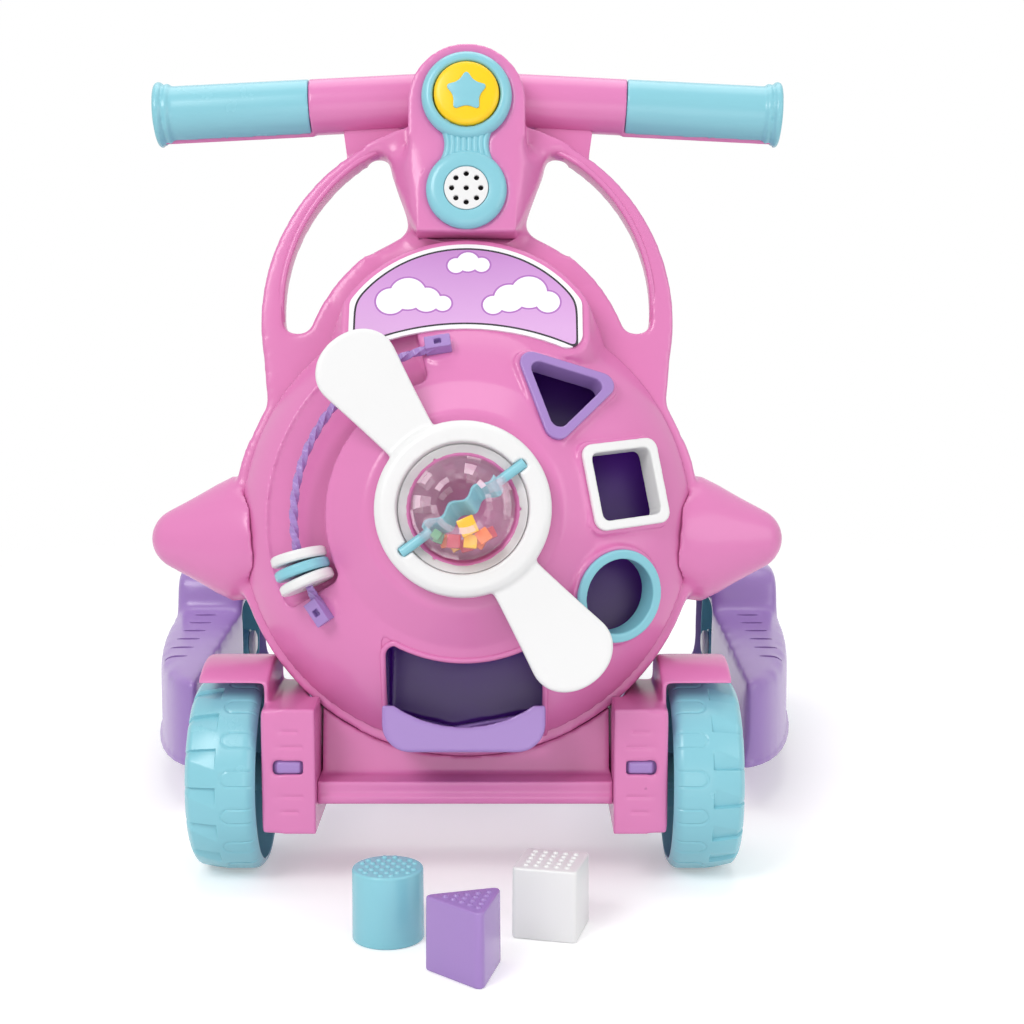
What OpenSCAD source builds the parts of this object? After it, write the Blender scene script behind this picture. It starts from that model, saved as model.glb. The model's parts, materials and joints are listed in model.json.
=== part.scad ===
// Ride-on airplane toy with activity nose, shape sorter, spinning propeller and rattle ball.
// Millimetres. +X is the viewer's right from the front, +Y runs to the rear, +Z is up.

/* [Wheels] */
// Diameter of every wheel
wheel_d = 114; // [90:1:130]
// Width of every wheel
wheel_w = 41; // [30:1:48]
// Distance from the centre plane to a front wheel's inner face
front_track = 119; // [117:0.5:130]
// Distance from the centre plane to a rear wheel's inner face
rear_track = 187; // [184:0.5:195]
// Distance between the front and rear axle lines
wheelbase = 375; // [360:1:420]
// Diameter of the steel axles
axle_d = 8; // [6:0.5:12]
// Wall of the hollow wheels
wheel_wall = 4; // [3:0.5:6]
// Number of tread lugs around a wheel
lug_count = 16; // [8:1:24]
// Depth of the tread grooves
lug_depth = 2; // [1:0.25:3]

/* [Nose] */
// Height of the propeller axis where it meets the parting plane
nose_z = 203; // [190:1:220]
// Distance from the front axle back to that point
nose_y = 26; // [15:1:35]
// How far the whole front leans back, in degrees
lean = 13; // [5:1:18]
// Radius of the domed nose
dome_r = 138; // [125:1:150]
// Depth of the domed nose from the parting plane
dome_depth = 78; // [70:1:85]
// Wall of the moulded shells
shell_wall = 2.8; // [2:0.2:3.6]
// Radius of the flat plinth behind the propeller
plinth_r = 56; // [52:1:60]
// Radius of the plinth's sloping wall at its foot
plinth_foot = 76; // [70:1:78]
// Radius of the plinth's rounded rim
plinth_round = 6; // [3:0.5:9]
// Height of the plinth's flat top above the parting plane
plinth_w = 80; // [78:1:86]

/* [Hoop and wings] */
// Depth of the front half of the frame
front_t = 20; // [16:1:26]
// Depth of the back half of the frame
back_t = 22; // [18:1:28]
// Outer radius of the grab hoop
hoop_r = 124; // [118:1:130]
// Height of the hoop's centre above the propeller axis
hoop_v = 121; // [116:1:126]
// Width of the hoop's arms
band_w = 14; // [11:0.5:17]
// Half span of the wings
wing_span = 190; // [175:1:205]
// Height of the wing at its root
wing_root = 78; // [60:1:90]
// Radius of the wing tip
wing_tip_r = 17; // [12:1:22]
// Height of the wing's middle below the propeller axis
wing_drop = 9; // [0:1:20]

/* [Head and handlebar] */
// Radius of the round head
head_r = 35; // [30:1:40]
// Height of the raised head pad above the parting plane
head_w = 38; // [34:1:44]
// Diameter of the handlebar tube
bar_d = 34; // [30:0.5:36]
// Diameter of the core inside the grips
bar_core_d = 26; // [20:0.5:28]
// Where the grips start, from the centre plane
grip_start = 97; // [85:1:105]
// Length of a grip with its end flange
grip_l = 95; // [85:1:110]
// Diameter of the grip's end flange
flange_d = 40; // [36:1:46]
// Width of the grip's end flange
flange_w = 10; // [6:1:14]
// Droop of each bar, in degrees
bar_droop = 3; // [0:0.5:5]
// Width of the spine that shows along the underside of a grip
spine_w = 12; // [8:1:16]

/* [Console] */
// Radius of the console's upper lobe
lobe_r = 27; // [25:0.5:30]
// Distance between the centres of the console's lobes
lobe_gap = 57; // [53:0.5:62]
// Radius of the console's lower lobe
ring_r = 24; // [22:0.5:26]
// Half width of the console's ribbed neck
neck_half = 13; // [9:0.5:16]
// Thickness of the console
console_t = 5; // [3.5:0.5:7]
// Radius of the push button
button_r = 19.5; // [16:0.5:21]
// Travel of the push button
button_travel = 2.5; // [1.5:0.25:3]
// Radius of the speaker grille
grille_r = 13; // [11:0.5:15]

/* [Windscreen] */
// Half width of the windscreen
screen_half = 68; // [60:1:72]
// Rake of the windscreen against the frame, in degrees
screen_rake = 17; // [8:1:22]
// Thickness of the windscreen panel
screen_t = 1.6; // [1:0.2:3]

/* [Propeller and ball] */
// Outer radius of the propeller ring
prop_ring_r = 49; // [46:0.5:52]
// Radius of the boss that the ring turns on
boss_r = 33; // [31:0.5:35]
// Thickness of the propeller ring
prop_ring_t = 16; // [12:0.5:18]
// Radius from the axis to a blade tip
blade_tip = 119; // [105:1:121]
// Greatest width of a blade
blade_w = 42; // [34:1:46]
// Width of a blade at the ring
blade_root = 28; // [22:1:34]
// Thickness of a blade
blade_t = 8; // [5:0.5:10]
// Angle of the first blade at rest, in degrees
blade_angle = 127; // [0:1:180]
// Radius of the clear rattle ball
ball_r = 29; // [26:0.5:30]
// Wall of the clear ball
ball_wall = 1.6; // [1.2:0.2:2.4]
// Diameter of the ball's axle pins
pin_d = 5.8; // [4:0.2:6.6]
// Radius from the propeller axis to the end of a pin
pin_reach = 42; // [38:1:45]

/* [Bead rail] */
// Radius of the rail's arc about the propeller axis
rail_r = 97; // [94:1:99]
// Height of the rail above the parting plane
rail_w = 60.5; // [59:0.5:63]
// Width across the twisted rail bar
rail_d = 6; // [4.5:0.5:7]
// Angle of the rail's upper end, in degrees
rail_top = 99; // [95:1:103]
// Angle of the rail's lower end, in degrees
rail_bottom = 214; // [210:1:220]
// Radius of the bead discs
bead_r = 16; // [12:0.5:16.5]
// Thickness of the bead discs
bead_t = 6; // [4:0.5:6.6]
// Angle between neighbouring beads at rest, in degrees
bead_pitch = 4.4; // [4:0.2:6]

/* [Shape sorter] */
// Diameter of the round hole
hole_d = 43; // [40:0.5:46]
// Side of the square hole
hole_square = 39; // [37:0.5:42]
// Side of the triangular hole before its corners are rounded
hole_triangle = 50; // [46:0.5:52]
// Width of the coloured rims around the holes
rim_w = 5.5; // [4:0.5:7]
// Height of the rims above their pads
rim_t = 3; // [2:0.5:4]
// Half width of the tray opening
tray_half = 46; // [38:1:50]
// Radius of the tray opening's upper edge about the propeller axis
tray_r = 83; // [78:1:90]
// Height of the tray's lip at its middle
lip_h = 14; // [8:1:18]
// Reach of the tray in front of the parting plane
tray_reach = 66; // [58:1:72]
// Wall of the sorter bin
bin_wall = 2.4; // [1.8:0.2:3]

/* [Front base] */
// Half width of the cross member between the axle housings
member_half = 85; // [75:1:88]
// Height of the cross member's underside above the floor
member_z = 49; // [42:1:54]
// Distance that the cross member reaches ahead of the axle
member_front = 40; // [34:1:46]
// Width of an axle housing
housing_w = 31; // [26:0.5:33]
// Height of the housings' underside above the floor
housing_z = 34; // [28:1:40]
// Height of the housings' top above the floor
housing_top = 107; // [100:1:109]
// Distance that the housings reach ahead of the axle
housing_front = 50; // [46:1:56]
// Distance that the housings reach behind the axle
housing_back = 30; // [24:1:36]
// Inner radius of the fenders about the axle
fender_r = 66; // [60:0.5:68]
// Thickness of the fenders
fender_t = 4; // [3:0.5:6]
// Width of a fender
fender_w = 38; // [30:1:44]

/* [Seat and chassis] */
// Height of the flat seat above the floor
seat_z = 210; // [195:1:230]
// Half width of the seat
seat_half = 78; // [70:1:84]
// Height of the low backrest above the floor
back_z = 276; // [250:1:290]
// Width of a chassis rail
rail_box_w = 23; // [18:0.5:24]
// Height of the chassis rails' underside
rail_box_z = 64; // [63:0.5:66]
// Height of the chassis rails
rail_box_h = 20; // [16:0.5:22]
// Height of the cross beam's top, which carries the seat and the pods
beam_z = 126; // [120:1:126]
// Depth of the cross beam
beam_t = 24; // [18:1:26]

/* [Foot pods] */
// Distance from the centre plane to a pod's inner face
pod_in = 181; // [178:0.5:182]
// Distance from the centre plane to a pod's outer face
pod_out = 234; // [232:0.5:244]
// Height of the pods' lower edge above the floor
pod_z = 28; // [22:1:34]
// Height of the step at its front
step_front = 87; // [78:1:92]
// Height of the step where it meets the fender
step_rear = 97; // [90:1:104]
// Height of the rear fender
pod_top = 129; // [127:1:136]
// Number of grip slits in a step
slit_count = 6; // [3:1:8]

/* [Blocks] */
// Diameter of the round block
block_d = 38.5; // [34:0.5:40]
// Side of the square block
block_square = 36; // [32:0.5:37]
// Side of the triangular block before its corners are rounded
block_triangle = 45; // [40:0.5:47]
// Height of the blocks
block_h = 39; // [34:0.5:44]

/* [Fits] */
// Radial clearance of turning shafts
run_fit = 0.06; // [0.02:0.01:0.1]
// Clearance between pieces that are assembled face to face
seam = 0.2; // [0.1:0.05:0.4]
// Clearance around pieces that slide or swing
slide_gap = 0.5; // [0.3:0.1:1]

/* [Hidden] */
$fn = 96;

// Colours of the mouldings
pink = [0.91, 0.53, 0.76];
teal = [0.55, 0.81, 0.87];
purple = [0.70, 0.57, 0.83];
white = [0.97, 0.97, 0.97];
yellow = [1.0, 0.82, 0.0];
steel = [0.72, 0.73, 0.75];

far = 400;
wheel_r = wheel_d / 2;
axle_z = wheel_r;
pod_rear = wheelbase + wheel_r + 10;
pod_wall = 3;
prism_place = [5, -167];
prism_turn = 167;
prism_corner = 4;
prism_reach = (block_triangle / sqrt(3) - 2 * prism_corner) * sin(prism_turn + 120) - prism_corner;
block_front_y = prism_place[1] + prism_reach;
// The part's origin lies under the middle of its outline, this far behind the front axle
frame_y = (pod_rear + pod_wall + block_front_y) / 2;

bar_r = bar_d / 2;
fairing_v = 84;
fairing_r = 85;
pad_low = fairing_v + fairing_r + 1;
ring_v = pad_low + ring_r + 1;
lobe_v = ring_v + lobe_gap;
head_v = lobe_v - 2;
bar_v = head_v + 12.5;
bar_w = 2;
bar_end = grip_start + grip_l;
cap_w = head_w + console_t;
rim_in = dome_r - 13;
pod_fender_front = wheelbase - wheel_r - 12;

// Height and slope of the domed nose at a distance from its axis
function dome_w(r) = dome_depth * sqrt(1 - pow(r / dome_r, 2));
function dome_tilt(r) = atan(dome_depth / dome_r * (r / dome_r) / sqrt(1 - pow(r / dome_r, 2)));
function dome_radius(w) = dome_r * sqrt(1 - pow(w / dome_depth, 2));

// The front stands in its own leaning frame: x across, y up the panel, z out of it
module at_axle() {
    translate([0, -frame_y, 0]) children();
}

module fascia() {
    at_axle() translate([0, nose_y, nose_z]) rotate([90 - lean, 0, 0]) children();
}

module both_sides() {
    children();
    mirror([1, 0, 0]) children();
}

// A place on the dome, with z along the surface normal and x away from the axis
module on_dome(rho, phi) {
    rotate([0, 0, phi]) translate([rho, 0, dome_w(rho)]) rotate([0, dome_tilt(rho), 0]) children();
}

module across(x) {
    translate([x, 0, 0]) rotate([0, 90, 0]) children();
}

// Nose shell: elliptic dome, plinth and boss, pads for the rims, rail channel and tray opening
sorter_triangle = [89, 51];
sorter_square = [92.5, 10.6];
sorter_circle = [98.4, -27.9];
pad_rise = 0.8;
sleeve_t = 2;
sleeve_l = 10;
channel_in = rail_r - bead_r - 2;
channel_out = rail_r + bead_r + 2;
channel_deep = rail_w - bead_r - 3;
channel_top = rail_top + 6;
channel_bottom = rail_bottom - 6;
channel_mid = (channel_in + channel_out) / 2;
channel_corner = 3.5;

module dome_profile(inset, low) {
    steps = 26;
    a = dome_r - inset;
    b = dome_depth - inset;
    start = asin(low / b);
    polygon(concat([[0, low]],
        [for (i = [0:steps]) let (t = start + (90 - start) * i / steps) [a * cos(t), b * sin(t)]]));
}

module dome_solid(inset, low) {
    rotate_extrude($fn = 180) dome_profile(inset, low);
}

function polar(r, a) = r * [cos(a), sin(a)];

// Arc-shaped pocket along the rail with cut corners
module channel_outline(grow) {
    arc_steps = 20;
    half = (channel_out - channel_in) / 2 + grow;
    reach = grow / channel_mid * 180 / PI;
    start = channel_top - reach;
    end = channel_bottom + reach;
    corner = channel_corner / channel_mid * 180 / PI;
    sweep = end - start - 2 * corner;
    polygon(concat(
        [polar(channel_mid + half - channel_corner, start)],
        [for (i = [0:arc_steps]) polar(channel_mid + half, start + corner + sweep * i / arc_steps)],
        [polar(channel_mid + half - channel_corner, end), polar(channel_mid - half + channel_corner, end)],
        [for (i = [arc_steps:-1:0]) polar(channel_mid - half, start + corner + sweep * i / arc_steps)],
        [polar(channel_mid - half + channel_corner, start)]));
}

module channel(grow) {
    translate([0, 0, channel_deep - grow]) linear_extrude(far) channel_outline(grow);
}

module triangle_outline(side, corner) {
    inner = side / sqrt(3) - 2 * corner;
    offset(r = corner) circle(r = inner, $fn = 3);
}

module square_outline(side, corner) {
    offset(r = corner) square(side - 2 * corner, center = true);
}

module sorter_outline(kind, grow) {
    if (kind == "triangle") rotate(86) triangle_outline(hole_triangle + 3.4 * grow, 5 + grow / 2, $fn = 40);
    if (kind == "square") square_outline(hole_square + 2 * grow, 4 + grow / 2, $fn = 40);
    if (kind == "circle") circle(d = hole_d + 2 * grow);
}

module at_sorter(kind) {
    place = kind == "triangle" ? sorter_triangle : kind == "square" ? sorter_square : sorter_circle;
    on_dome(place[0], place[1]) children();
}

module tray_cut() {
    linear_extrude(far) difference() {
        translate([-tray_half, -far]) square([2 * tray_half, far]);
        circle(r = tray_r);
    }
}

screen_v = 109;
screen_lift = -0.5;
screen_top_r = 79;
screen_low_r = 137;
screen_h = 56.5;
screen_corner = 9;

module screen_place() {
    translate([0, screen_v, dome_w(screen_v) + screen_lift]) rotate([-screen_rake, 0, 0]) children();
}

module screen_outline(grow) {
    offset(r = screen_corner + grow) offset(r = -screen_corner) intersection() {
        difference() {
            translate([0, screen_h - screen_top_r]) circle(r = screen_top_r);
            translate([0, -screen_low_r]) circle(r = screen_low_r);
        }
        square([2 * screen_half, far], center = true);
    }
}

module fairing(inset) {
    hull() {
        translate([0, 0, front_t + (inset > 0 ? -1 : seam)]) linear_extrude(1) intersection() {
            translate([0, fairing_v]) circle(r = fairing_r - inset, $fn = 64);
            translate([-far, fairing_v - 22]) square([2 * far, far]);
        }
        screen_place() translate([0, 0, -2 - inset]) linear_extrude(2) screen_outline(4 - inset, $fn = 40);
    }
}

// Plinth behind the propeller: flat top, rounded rim and a wall that slopes down into the dome
module plinth_profile(inset) {
    steps = 6;
    low = front_t + seam - (inset > 0 ? 1 : 0);
    slope = atan((plinth_w - dome_w(plinth_foot)) / (plinth_foot - plinth_r));
    round = plinth_round - inset;
    setback = plinth_round * tan(slope / 2);
    polygon(concat([[0, low], [plinth_foot - inset, low], [plinth_foot - inset, dome_w(plinth_foot) - inset]],
        [for (i = [steps:-1:0]) let (a = 90 - slope * i / steps)
            [plinth_r - setback + round * cos(a), plinth_w - plinth_round + round * sin(a)]],
        [[0, plinth_w - inset]]));
}

module nose_shell() color(pink) fascia() {
    difference() {
        union() {
            dome_solid(0, front_t + seam);
            rotate_extrude($fn = 120) plinth_profile(0);
            cylinder_boss();
            fairing(0);
            for (kind = ["triangle", "square", "circle"])
                at_sorter(kind) translate([0, 0, -9]) linear_extrude(9 + pad_rise)
                    sorter_outline(kind, rim_w + 2);
            for (a = [rail_top, rail_bottom])
                on_dome(rail_r, a) translate([0, 0, -8]) cylinder(r = 10, h = 8 + pad_rise);
        }
        difference() {
            union() {
                dome_solid(shell_wall, -1);
                rotate_extrude($fn = 120) plinth_profile(shell_wall);
                fairing(shell_wall);
            }
            intersection() {
                channel(shell_wall);
                dome_solid(0.1, 0);
            }
            cylinder(r = boss_r - run_fit, h = far);
        }
        channel(0);
        translate([0, 0, ball_w]) sphere(r = ball_r + 1.4);
        boss_core();
        for (kind = ["triangle", "square", "circle"])
            at_sorter(kind) {
                translate([0, 0, -far / 10]) linear_extrude(far / 5) sorter_outline(kind, sleeve_t + seam);
                translate([0, 0, pad_rise]) linear_extrude(far / 10) sorter_outline(kind, rim_w + seam);
            }
        tray_cut();
        for (a = [0:120:240])
            rotate(a) translate([retainer_screw_r, 0, retainer_w - 8]) cylinder(d = 1.6, h = far, $fn = 24);
        screen_seat();
    }
}

// The boss that the propeller ring turns on, with a bowl for the ball and a core that is left open
ball_w = plinth_w + 15;
prop_w = plinth_w + 1;
retainer_w = prop_w + 7.5;
retainer_t = 2.5;
retainer_screw_r = boss_r - 1.6;

module cylinder_boss() {
    translate([0, 0, front_t + seam]) cylinder(r = boss_r - run_fit, h = retainer_w - front_t - seam);
}

module boss_core() {
    translate([0, 0, front_t - 1]) cylinder(r = boss_r - 6, h = ball_w - ball_r - 5 - front_t);
}

module screen_seat() {
    screen_place() linear_extrude(far) screen_outline(seam);
}

module windscreen() color([0.82, 0.74, 0.94]) fascia() {
    screen_place() linear_extrude(screen_t) screen_outline(0);
}

// Frame halves: grab hoop, head, wings and the rim that the nose shell sits on
opening_v = hoop_v + 7;
opening_low_v = fairing_v - 2;
opening_low_r = fairing_r + 15;
opening_floor = hoop_v - 8;
opening_corner = 5.5;
stem_half = 47;
stem_low_half = 33;
stem_v = ring_v + 17;
stem_low_v = ring_v - 17;
arm_half = hoop_r - 6;
arm_v = hoop_v - 63;
bay_half = 27;

// Blunt cone from the frame's rim out to the wing tip
module wing() {
    hull() {
        translate([wing_span - wing_tip_r, -wing_drop, 0]) sphere(r = wing_tip_r, $fn = 32);
        translate([rim_in - 6, -wing_drop, 0]) rotate([0, 90, 0])
            cylinder(r = wing_root / 2, h = 1, $fn = 48);
    }
}

// One half of both wings, on the positive side of the parting plane
module wing_halves() {
    intersection() {
        both_sides() wing();
        translate([-far, -far, 0]) cube([2 * far, 2 * far, far]);
    }
}

module opening_outline() {
    offset(r = opening_corner) offset(r = -opening_corner) difference() {
        translate([0, opening_v]) circle(r = hoop_r - band_w);
        translate([0, opening_low_v]) circle(r = opening_low_r);
        polygon([[-far, 0], [stem_low_half, 0], [stem_low_half, stem_low_v], [stem_half, stem_v],
            [stem_half, far], [-far, far]]);
        translate([-far, -far]) square([2 * far, far + opening_floor]);
    }
}

// Round head with straight sides down to a given height
module head_outline(low) {
    translate([0, head_v]) circle(r = head_r);
    translate([-head_r, low]) square([2 * head_r, head_v - low]);
}

// Front view of the frame: round rim, hoop with arms that run down into the rim, head and openings
module frame_outline() {
    difference() {
        union() {
            circle(r = dome_r);
            translate([0, hoop_v]) circle(r = hoop_r);
            polygon([[-hoop_r, hoop_v], [hoop_r, hoop_v], [arm_half, arm_v], [-arm_half, arm_v]]);
            head_outline(ring_v);
        }
        both_sides() opening_outline();
    }
}

// Slopes from the stem up to the raised head pad
module shoulder() {
    pad_half = stem_low_half - 3;
    hull() {
        translate([0, 0, front_t - 1]) linear_extrude(1)
            polygon([[-stem_low_half, pad_low], [stem_low_half, pad_low], [stem_low_half, stem_low_v],
                [stem_half, stem_v], [stem_half - 2, stem_v + 12], [2 - stem_half, stem_v + 12],
                [-stem_half, stem_v], [-stem_low_half, stem_low_v]]);
        translate([0, 0, head_w - 1]) linear_extrude(1)
            polygon([[-pad_half, pad_low], [pad_half, pad_low], [head_r, stem_v], [-head_r, stem_v]]);
    }
}

// Hollow behind the console, round in the head and narrower below
module bay_outline(low) {
    translate([0, head_v]) circle(r = head_r - shell_wall);
    translate([-bay_half, low]) square([2 * bay_half, head_v - low]);
}

module bar_axis() {
    translate([0, bar_v, bar_w]) rotate([0, 90, -bar_droop]) children();
}

module bar_hole() {
    both_sides() bar_axis() cylinder(r = bar_r + seam / 2, h = far);
}

screw_places = [[94, 91], [-94, 91], [94, -91], [-94, -91], [24, 144], [-24, 144]];

module screw_holes(r, low, high) {
    for (p = screw_places) translate([p[0], p[1], low]) cylinder(r = r, h = high - low, $fn = 40);
}

gusset_t = 14;

// Webs that tie the hoop to the handlebar
module gusset_outline() {
    polygon([[stem_half - 6, bar_v - bar_r], [stem_half + 30, bar_v - bar_r],
        [stem_half + 26, bar_v - bar_r - 28],
        [stem_half - 6, bar_v - bar_r - 14]]);
}

module hoop_frame() color(pink) fascia() {
    difference() {
        union() {
            linear_extrude(front_t) frame_outline();
            linear_extrude(head_w) head_outline(stem_v - 4);
            shoulder();
            linear_extrude(gusset_t) both_sides() gusset_outline();
            difference() {
                wing_halves();
                dome_solid(-seam, front_t);
            }
        }
        translate([0, 0, -1]) linear_extrude(head_w - shell_wall + 1)
            bay_outline(pad_low + shell_wall);
        translate([0, 0, -1]) cylinder(r = rim_in, h = far);
        nose_clear();
        bar_hole();
        translate([0, 0, head_w - console_sink]) linear_extrude(far) hourglass(slide_gap);
        translate([0, lobe_v, 0]) cylinder(r = button_r + slide_gap, h = far);
        translate([0, ring_v, 0]) cylinder(r = grille_r - 1, h = far);
        screw_holes(1.4, -1, front_t - 4);
    }
}

// Room above the frame for the nose shell and its windscreen fairing
module nose_clear() {
    translate([0, 0, front_t]) intersection() {
        translate([0, fairing_v, 0]) cylinder(r = fairing_r + slide_gap, h = far);
        translate([-far, -far, 0]) cube([2 * far, far + fairing_v + fairing_r + slide_gap, far]);
    }
}

hatch_w = 50;
hatch_h = 60;
hatch_v = ring_v - 5;
hatch_t = 2.4;

module back_shell() color(pink) fascia() mirror([0, 0, 1]) {
    difference() {
        union() {
            linear_extrude(back_t) {
                circle(r = dome_r);
                head_outline(0);
            }
            wing_halves();
            translate([0, 0, back_t]) back_bulge();
        }
        translate([0, 0, -1]) linear_extrude(back_t - shell_wall + 1) {
            circle(r = rim_in);
            bay_outline(hatch_v - hatch_h / 2);
        }
        mirror([0, 0, 1]) bar_hole();
        translate([0, hatch_v, back_t]) cube([hatch_w, hatch_h, 2 * hatch_t], center = true);
        translate([0, hatch_v, back_t]) cube([hatch_w - 5, hatch_h - 5, 12], center = true);
        screw_holes(1.6, -1, back_t);
        screw_holes(3.4, back_t - 2.2, far);
    }
}

// Shallow domed back
module back_bulge() {
    bulge_r = 215;
    bulge_h = 15;
    rotate_extrude($fn = 120) intersection() {
        translate([0, bulge_h - bulge_r]) circle(r = bulge_r, $fn = 240);
        square([dome_r, far]);
    }
}

module battery_door() color(pink) fascia() mirror([0, 0, 1]) {
    gap = 2 * seam;
    translate([0, hatch_v, back_t - hatch_t / 2])
        cube([hatch_w - gap, hatch_h - gap, hatch_t], center = true);
    for (i = [-2:2])
        translate([0, hatch_v + 5 * i, back_t + 0.4]) cube([hatch_w - 16, 1.6, 0.8], center = true);
}

module shell_screws() color(steel) fascia() mirror([0, 0, 1]) {
    for (p = screw_places) translate([p[0], p[1], 0]) {
        translate([0, 0, -front_t + 6]) cylinder(r = 1.35, h = front_t + back_t - 8.2, $fn = 40);
        translate([0, 0, back_t - 2.2]) cylinder(r = 3.2, h = 1.8, $fn = 40);
    }
}

// Handlebar: two tubes that droop from the head, with cores and spines for the grips
spine_turn = -70;

module bar_half() {
    mitre = 4;
    core_start = grip_start - 10;
    bar_axis() {
        translate([0, 0, -mitre]) cylinder(r = bar_r, h = grip_start + mitre);
        translate([0, 0, core_start]) cylinder(r = bar_core_d / 2, h = bar_end - 3 - core_start);
        translate([0, 0, grip_start - 1]) grip_spine(bar_end - 3 - grip_start);
    }
}

module grip_spine(length) {
    rotate([0, 0, spine_turn]) translate([0, -spine_w / 2, 0]) cube([bar_r + 0.6, spine_w, length]);
}

module handlebar() color(pink) fascia() {
    difference() {
        both_sides() intersection() {
            bar_half();
            translate([0, -far, -far]) cube(2 * far);
        }
        both_sides() bar_axis() translate([0, 0, 8]) cylinder(r = bar_core_d / 2 - 4, h = far);
    }
}

// Profile of a grip's end: a bead, a waist and a rounded flange
module grip_end() {
    bead_r = 2.2;
    lip = flange_d / 2;
    translate([0, 0]) square([bar_r, flange_w]);
    translate([bar_r - 0.6, bead_r]) circle(r = bead_r, $fn = 32);
    translate([lip - 2.6, flange_w - 2.6]) circle(r = 2.6, $fn = 32);
    translate([0, flange_w - 5.2]) square([lip - 2.6, 5.2]);
}

module grip() {
    bar_axis() difference() {
        union() {
            translate([0, 0, grip_start + seam]) cylinder(r = bar_r, h = grip_l - flange_w);
            translate([0, 0, bar_end - flange_w]) rotate_extrude() grip_end();
        }
        translate([0, 0, grip_start - 1]) cylinder(r = bar_core_d / 2 + seam / 2, h = grip_l - 2 + seam);
        translate([0, 0, grip_start - 2]) spine_slot();
    }
}

module spine_slot() {
    rotate([0, 0, spine_turn]) translate([0, -spine_w / 2 - seam / 2, 0])
        cube([bar_r + 5, spine_w + seam, grip_l - 1 + seam]);
}

module grip_right() color(teal) fascia() grip();
module grip_left() color(teal) fascia() mirror([1, 0, 0]) grip();

// Console: hourglass bezel with push button, grille and the electronics behind them
console_sink = 1.2;
neck_round = 10;

module hourglass(grow) {
    offset(r = -neck_round) offset(r = neck_round + grow) {
        translate([0, lobe_v]) circle(r = lobe_r);
        translate([0, ring_v]) circle(r = ring_r);
        translate([-neck_half, ring_v]) square([2 * neck_half, lobe_gap]);
    }
}

module console_bezel() color(teal) fascia() {
    ribs = 5;
    rib_l = lobe_gap - lobe_r - ring_r + 10;
    difference() {
        union() {
            translate([0, 0, head_w - console_sink]) linear_extrude(console_t + console_sink) hourglass(0);
            for (i = [0:ribs - 1])
                translate([(i / (ribs - 1) - 0.5) * 2 * (neck_half - 3), ring_v + ring_r - 4, cap_w])
                    rotate([-90, 0, 0]) cylinder(r = 1, h = rib_l, $fn = 32);
        }
        translate([0, lobe_v, 0]) cylinder(r = button_r + slide_gap, h = far);
        translate([0, ring_v, head_w + 2]) cylinder(r = grille_r + seam, h = far);
        translate([0, ring_v, 0]) cylinder(r = grille_r - 2, h = far);
    }
}

button_flange = 1.6;
button_low = head_w - shell_wall - button_flange - 0.2;

module button_cap() color(yellow) fascia() translate([0, lobe_v, 0]) {
    translate([0, 0, button_low]) cylinder(r = button_r + 2.5, h = button_flange);
    translate([0, 0, button_low]) cylinder(r = button_r, h = cap_w + 1.5 - button_low);
    translate([0, 0, cap_w + 1.5]) cylinder(r1 = button_r, r2 = button_r - 2.5, h = 1.5);
    translate([0, 0, button_low - 2]) cylinder(r = 3, h = 2.01);
}

module star_outline(r) {
    offset(r = 1.8) offset(r = -0.6)
        polygon([for (i = [0:9]) (i % 2 == 0 ? r : 0.55 * r) * [sin(36 * i), cos(36 * i)]]);
}

module button_star() color(teal) fascia() {
    translate([0, lobe_v, cap_w + 3]) linear_extrude(1.4) star_outline(11, $fn = 32);
}

board_w = button_low - 2 - button_travel - 1.9;
board_half = 15;
board_t = 1.6;

module button_switch() color([0.2, 0.2, 0.22]) fascia() {
    translate([0, lobe_v, board_w]) translate([-3, -3, 0]) cube([6, 6, 1]);
    translate([0, lobe_v, board_w + 1]) cylinder(r = 1.75, h = 0.7);
}

module circuit_board() color([0.1, 0.45, 0.25]) fascia() {
    difference() {
        translate([-board_half, ring_v - board_half, board_w - board_t])
            cube([2 * board_half, lobe_gap + 2 * board_half - 3, board_t]);
        translate([0, ring_v, 0]) cylinder(r = speaker_magnet_r + 0.4, h = far);
    }
}

speaker_magnet_r = 9;

module speaker() color([0.16, 0.16, 0.18]) fascia() translate([0, ring_v, 0]) {
    top = head_w - shell_wall;
    translate([0, 0, top - 2]) cylinder(r = 18, h = 2);
    translate([0, 0, board_w]) cylinder(r1 = speaker_magnet_r, r2 = 17, h = top - 2 - board_w);
    translate([0, 0, board_w - 5]) cylinder(r = speaker_magnet_r, h = 5);
}

module speaker_grille() color(white) fascia() translate([0, ring_v, 0]) {
    hole_r = 1.6;
    difference() {
        translate([0, 0, head_w + 2]) cylinder(r = grille_r, h = console_t - 2.4);
        translate([0, 0, head_w]) cylinder(r = hole_r, h = far, $fn = 32);
        for (i = [0:7])
            rotate(45 * i) translate([grille_r * 0.66, 0, head_w]) cylinder(r = hole_r, h = far, $fn = 32);
    }
}

battery_r = 7.2;
battery_l = 50;

module batteries() color([0.25, 0.27, 0.3]) fascia() {
    w = -back_t + hatch_t + battery_r + 0.3;
    for (i = [-1:1])
        translate([i * (2 * battery_r + 0.4), hatch_v - battery_l / 2, w]) rotate([-90, 0, 0]) {
            cylinder(r = battery_r, h = battery_l - 1.5);
            cylinder(r = 2.7, h = battery_l);
        }
}

// Propeller: ring that turns on the boss, two paddle blades and slots for the ball's pins
counter_r = boss_r + 3.4;
pin_angle = blade_angle - 90.6;

module blade_outline() {
    hull() {
        translate([prop_ring_r - 8, 0]) circle(d = blade_root, $fn = 32);
        translate([blade_tip - blade_w / 2, 0]) circle(d = blade_w, $fn = 48);
    }
}

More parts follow.
